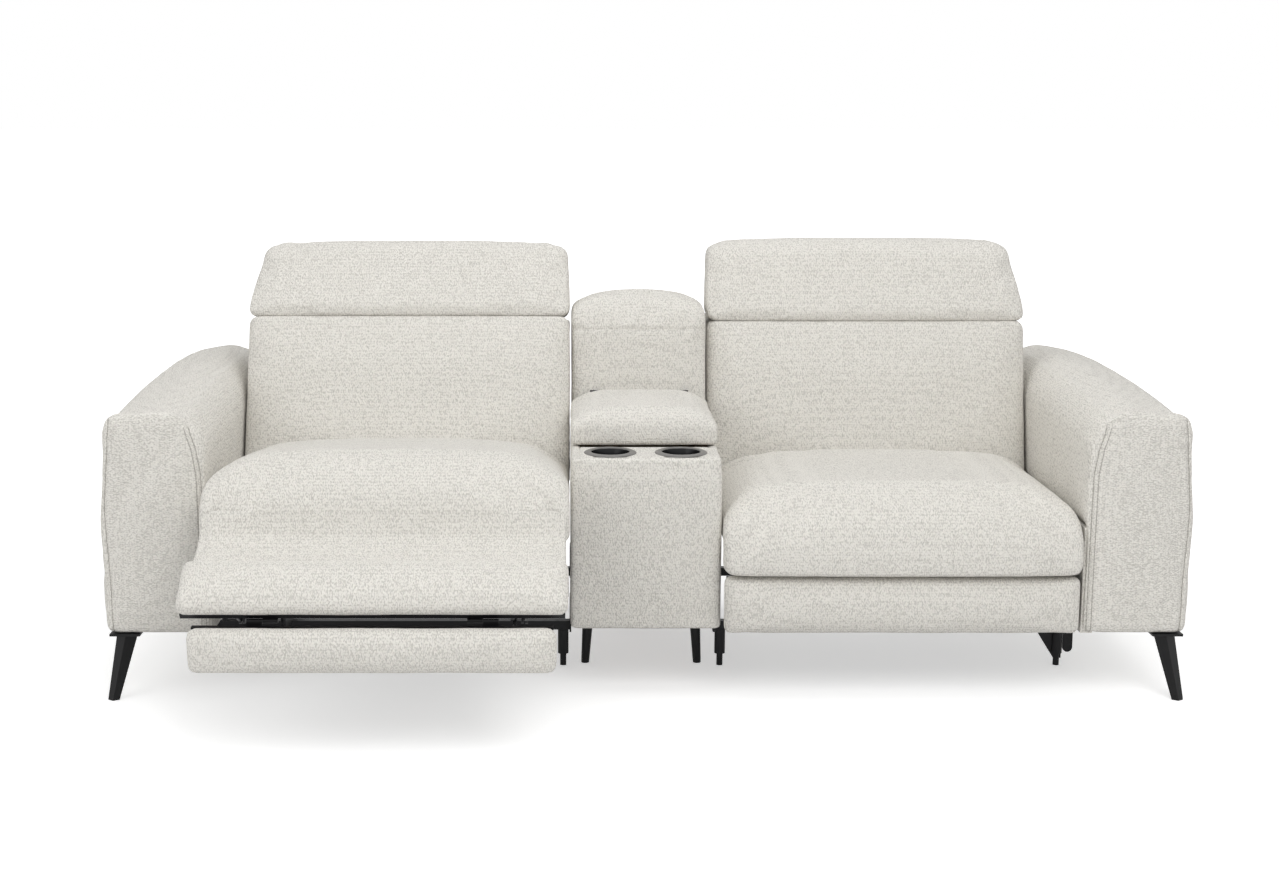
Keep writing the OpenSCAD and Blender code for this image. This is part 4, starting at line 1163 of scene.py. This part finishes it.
@dataclass
class Console:
    """The fixed console: its cover, deck, cup holders, lid and back."""

    work: Upholstery
    wall: float = 16*MM
    rim_r: float = 56*MM
    bore_r: float = 40*MM

    def cover(self) -> None:
        """The face and sides as one shell that is open behind and above."""
        low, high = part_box("console_cover")
        front = 22*MM
        half, inner = high.x + 2.5*MM, high.x - self.wall
        outline = arc_outline([
            (-half, high.y, 6*MM), (-half, low.y, 13*MM), (half, low.y, 13*MM), (half, high.y, 6*MM),
            (inner, high.y, 4*MM), (inner, low.y + front, 6*MM),
            (-inner, low.y + front, 6*MM), (-inner, high.y, 4*MM)])

        def shape(along: Points, x: Points, y: Points) -> tuple[Points, Points, Points]:
            """Stands the plan outline up."""
            z = along + (low.z + high.z)/2
            tuck = 2.5*MM*ease(z, high.z - 60*MM, high.z)
            ahead = np.where(y < low.y + front/2, 1.0, 0.0)
            return x - np.sign(x)*tuck*(np.abs(x) > inner), y + ahead*tuck*1.6, z

        piece = self.work.form("console_cloth", outline, high.z - low.z, edge=7*MM, shape=shape, voxel=6*MM,
                               rumple=0.6*MM)
        self.work.finish(piece, "root", ["console_cover"], fill=0.3)

    def deck(self) -> None:
        """The padded deck with its two round openings, and the strip behind the lid."""
        low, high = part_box("console_deck")
        lid_low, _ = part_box("console_lid_cushion")
        rear_strip, lid_gap = 0.286, 0.3*MM
        spans = (("deck_front", low.y, lid_low.y - lid_gap), ("deck_rear", high.y - rear_strip, high.y))
        for name, start, end in spans:
            outline = box_outline((start, low.z), (end, high.z), (3*MM,)*4, 6*MM)
            piece = self.work.form(name, outline, high.x - low.x, edge=3*MM, shape=side_shape(0), voxel=4*MM,
                                   rumple=0)
            if name == "deck_front":
                self.cut(piece)
            self.work.finish(piece, "root", ["console_deck"], fill=0.3)

    def cut(self, piece: Object) -> None:
        """Opens the deck under the two cup holders.

        Args:
            piece: The deck's front part.
        """
        count, radius, ends = 64, self.bore_r + 3*MM, (0.45, 0.55)
        turn = np.linspace(0, math.tau, count, endpoint=False)
        for x, y, _ in self.centres():
            ring = np.column_stack([x + radius*np.cos(turn), y + radius*np.sin(turn)])
            points = np.vstack([np.column_stack([ring, np.full(count, z)]) for z in ends])
            faces = [(k, (k + 1) % count, count + (k + 1) % count, count + k) for k in range(count)]
            faces += [tuple(range(count))[::-1], tuple(range(count, 2*count))]
            tool = mesh_object("cutter", points, faces)
            modify(piece, "BOOLEAN", object=tool, operation="DIFFERENCE", solver="EXACT")
            bpy.data.objects.remove(tool)

    @staticmethod
    def centres() -> list[Vector]:
        """The two bores' axes on the deck."""
        low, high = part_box("cup_holders")
        radius = (high.y - low.y)/2
        return [Vector((s*(high.x - radius), (low.y + high.y)/2, high.z)) for s in (-1, 1)]

    def cups(self) -> None:
        """Turned cup holders: a satin rim on a glossy well."""
        low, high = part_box("cup_holders")
        top, foot = high.z, low.z
        bore, edge, finishes = self.bore_r, self.rim_r, self.work.finishes
        rim = [(bore + 0.2*MM, top - 6*MM), (bore + 2*MM, top - 0.6*MM), (bore + 5*MM, top),
               (edge - 7*MM, top - 0.2*MM), (edge - 1.2*MM, top - 2.4*MM), (edge, top - 4*MM),
               (bore + 0.2*MM, top - 4*MM - 0.01*MM)]
        well = [(bore - 0.1*MM, top - 2*MM), (bore, foot + 8*MM), (bore - 6*MM, foot + 2*MM),
                (0, foot + 1.5*MM), (0, foot), (bore - 5*MM, foot), (bore + 1.5*MM, foot + 7*MM),
                (bore + 1.5*MM, top - 4*MM)]
        for name, profile, finish in (("cup_rims", rim, finishes.bezel), ("cup_wells", well, finishes.well)):
            parts = [self.turned(profile, centre) for centre in self.centres()]
            count = len(parts[0][0])
            points = np.vstack([p[0] for p in parts])
            faces = [tuple(i + n*count for i in f) for n, p in enumerate(parts) for f in p[1]]
            made = smooth(mesh_object(name, points, faces))
            modify(made, "BEVEL", width=0.4*MM, segments=2, limit_method="ANGLE")
            made.data.materials.append(finish)
            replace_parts(smooth(made), "cup_holders")
            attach(made, "root")

    @staticmethod
    def turned(profile: Sequence[tuple[float, float]], centre: Vector,
               count: int = 96) -> tuple[Points, list]:
        """A closed profile of (radius, height) turned about an upright axis.

        Args:
            profile: The closed profile's points, clockwise.
            centre: A point on the axis.
            count: Number of steps round it.

        Returns:
            Points and faces.
        """
        points, faces, index = [], [], []
        for r, z in profile:
            if r == 0:
                index.append([len(points)]*count)
                points.append((centre.x, centre.y, z))
                continue
            index.append(list(range(len(points), len(points) + count)))
            points += [(centre.x + r*math.cos(math.tau*k/count), centre.y + r*math.sin(math.tau*k/count), z)
                       for k in range(count)]
        for a, b in zip(index, index[1:] + index[:1]):
            for k in range(count):
                corner = [a[k], b[k], b[(k + 1) % count], a[(k + 1) % count]]
                kept = [c for i, c in enumerate(corner) if c not in corner[:i]]
                if len(kept) > 2:
                    faces.append(tuple(kept))
        return np.array(points), faces

    def lid(self) -> None:
        """The padded lid."""
        low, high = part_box("console_lid_cushion")
        crown = 12*MM
        top = high.z - crown
        foot, fall = low.z - 8.4*MM, 2*MM
        outline = arc_outline([
            (low.y, foot, 5*MM), (high.y, foot, 5*MM), (high.y, top - fall, 9*MM), (low.y, top, 32*MM)], 6*MM)
        shape = side_shape(0, up=crown, power=2.6, shoulder=14*MM, shoulder_w=48*MM)
        width = high.x - low.x - 1*MM
        piece = self.work.form("lid_cloth", outline, width, edge=13*MM, shape=shape, voxel=6*MM, cap=6*MM,
                               pull=(0.2, 0.3, 0.8), hold=stays(UNDERSIDE))
        self.work.finish(piece, "console_lid", ["console_lid_cushion"])

    def back(self) -> None:
        """The console's own back cushion and the cover behind it."""
        low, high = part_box("console_back_cushion")
        front, foot = low.y, 0.5153
        lean, depth, top_t = 34*MM, 190*MM, 150*MM
        crown = 22*MM
        top = high.z - crown
        outline = arc_outline([
            (front, foot, 16*MM), (front + depth, foot, 16*MM),
            (front + lean + top_t, top, 44*MM), (front + lean, top, 44*MM)])
        width = high.x - low.x + 7*MM
        run = np.linspace(-width/2 + 4*MM, width/2 - 4*MM, 90)
        seam = level_seam(run, front - SEAM_OFF, top - 62*MM)
        shape = side_shape(0, up=crown, fwd=6*MM, shoulder=10*MM, shoulder_w=60*MM)
        piece = self.work.form("console_back_cloth", outline, width, edge=14*MM, shape=shape, voxel=8*MM,
                               cap=8*MM, pull=(0.05, 0.6, 0.6), hold=REAR_AND_FOOT, seams=[seam])
        self.work.finish(piece, "root", ["console_back_cushion"])
        pad = 20*MM
        cover = box_outline((high.y - pad, low.z), (high.y, top - pad), (5*MM, 5*MM, 9*MM, 5*MM))
        shape = side_shape(0, shoulder=46*MM, shoulder_w=70*MM)
        piece = self.work.form("console_rear_cloth", cover, width, edge=6*MM, shape=shape, voxel=6*MM)
        self.work.finish(piece, "root", ["console_back_cushion"], fill=0.3)

    def build(self) -> None:
        """Every piece of the console."""
        self.cover()
        self.deck()
        self.cups()
        self.lid()
        self.back()


def dress_frame(finishes: Finishes) -> None:
    """Gives every CAD node its finish."""
    rules = (
        ("motor", finishes.housing), ("springs", finishes.wire), ("nut", finishes.wire),
        ("legs", finishes.legs), ("arm_frames", finishes.upright), ("seat_frame", finishes.upright),
        ("console_frame", finishes.timber), ("back_frame", finishes.upright),
        ("lid_board", finishes.upright), ("board", finishes.legs),
        ("headrest_frame", finishes.upright), ("cushion", finishes.upright), ("pad", finishes.upright),
        ("cover", finishes.upright), ("deck", finishes.upright), ("cup", finishes.well))
    for name, node in frame["nodes"].items():
        chosen = next((finish for key, finish in rules if key in name), finishes.steel)
        node.data.materials.clear()
        node.data.materials.append(chosen)


@dataclass
class Studio:
    """Camera, lights and floor.

    Attributes:
        eye: The camera's place.
        pitch: How far it looks down, in degrees.
        lens: Focal length in millimetres on a 36 mm sensor.
        shift: Sideways shift of the picture, as a share of its width.
    """

    eye: tuple = (-0.1596, -4.1354, 1.2685)
    pitch: float = 10.35
    lens: float = 53.94
    shift: float = 69.2/1279

    def camera(self) -> None:
        """The photograph's view."""
        data = bpy.data.cameras.new("camera")
        data.lens, data.sensor_width, data.shift_x = self.lens, 36, self.shift
        made = add_object("camera", data)
        made.location = self.eye
        made.rotation_euler = (math.radians(90 - self.pitch), 0, 0)
        bpy.context.scene.camera = made

    def lamp(self, name: str, spot: tuple, aim: tuple, size: float, power: float) -> None:
        """One square soft lamp.

        Args:
            name: Its name.
            spot: Its place.
            aim: The point that it faces.
            size: Its side.
            power: Its power in watts.
        """
        data = bpy.data.lights.new(name, "AREA")
        data.size, data.energy = size, power
        made = add_object(name, data)
        made.location = spot
        made.rotation_euler = (Vector(aim) - Vector(spot)).to_track_quat("-Z", "Y").to_euler()

    def world(self, glow: float) -> None:
        """A pale room that camera, glossy and transmission rays see as white.

        Args:
            glow: Its strength for all other rays.
        """
        world = bpy.data.worlds.new("room")
        bpy.context.scene.world = world
        world.use_nodes = True
        nodes, links = world.node_tree.nodes, world.node_tree.links
        nodes.clear()
        path, mix, out = (nodes.new(kind) for kind in ("ShaderNodeLightPath", "ShaderNodeMixShader",
                                                       "ShaderNodeOutputWorld"))
        seen = path.outputs["Is Camera Ray"]
        for ray in ("Is Glossy Ray", "Is Transmission Ray"):
            either = nodes.new("ShaderNodeMath")
            either.operation = "MAXIMUM"
            links.new(seen, either.inputs[0])
            links.new(path.outputs[ray], either.inputs[1])
            seen = either.outputs[0]
        links.new(seen, mix.inputs[0])
        for number, strength in ((1, glow), (2, 1.0)):
            light = nodes.new("ShaderNodeBackground")
            light.inputs["Strength"].default_value = strength
            light.inputs["Color"].default_value = (1, 1, 1, 1)
            links.new(light.outputs[0], mix.inputs[number])
        links.new(mix.outputs[0], out.inputs[0])

    def floor(self, lift: float) -> None:
        """A white floor that keeps the sofa's shadow and is plain white further off.

        Args:
            lift: Glow of the floor near the sofa.
        """
        shader = Shader("floor")
        rays = [shader.node("ShaderNodeLightPath", {}, {}, f"Is {kind} Ray")
                for kind in ("Camera", "Glossy", "Transmission")]
        seen = rays[0] + rays[1] + rays[2]
        shadow_end, white_from = 0.95, 1.6
        spot = shader.place((0.42, 1.0, 1.0))
        away = shader.node("ShaderNodeVectorMath", {"operation": "LENGTH"}, {0: spot}, 1)
        far = shader.ramp(away, shadow_end, white_from)
        material = shader.dress(Base_Color=(0.86, 0.86, 0.86, 1), Roughness=0.9, Specular_IOR_Level=0.0,
                                Emission_Color=(1, 1, 1, 1), Emission_Strength=seen*(far*(1 - lift) + lift))
        size = 60.0
        corners = np.array([(-size, -size, 0), (size, -size, 0), (size, size, 0), (-size, size, 0)])
        floor = mesh_object("floor", corners, [(0, 1, 2, 3)])
        floor.data.materials.append(material)

    def build(self) -> None:
        """Everything round the sofa."""
        self.camera()
        self.world(0.50)
        self.floor(0.50)
        for lamp in (("key", (1.1, -3.6, 3.7), (0, 0.1, 0.3), 2.6, 84),
                     ("fill", (-3.0, -2.8, 2.4), (0, 0.1, 0.4), 2.6, 34),
                     ("top", (0, 0.2, 3.6), (0, 0.1, 0.3), 3.0, 32)):
            self.lamp(*lamp)


def main() -> None:
    """Builds the studio and dresses the sofa."""
    logging.basicConfig(level=logging.INFO, format="%(message)s")
    bpy.context.scene.view_settings.view_transform = "Standard"
    Studio().build()
    finishes = Finishes()
    dress_frame(finishes)
    work = Upholstery(finishes, Seats())
    seats = SeatSet(work)
    seats.seat()
    seats.back()
    seats.headrest()
    seats.pads()
    Bridge(work).build()
    Arms(work).build()
    Console(work).build()


if __name__ == "__main__":
    main()
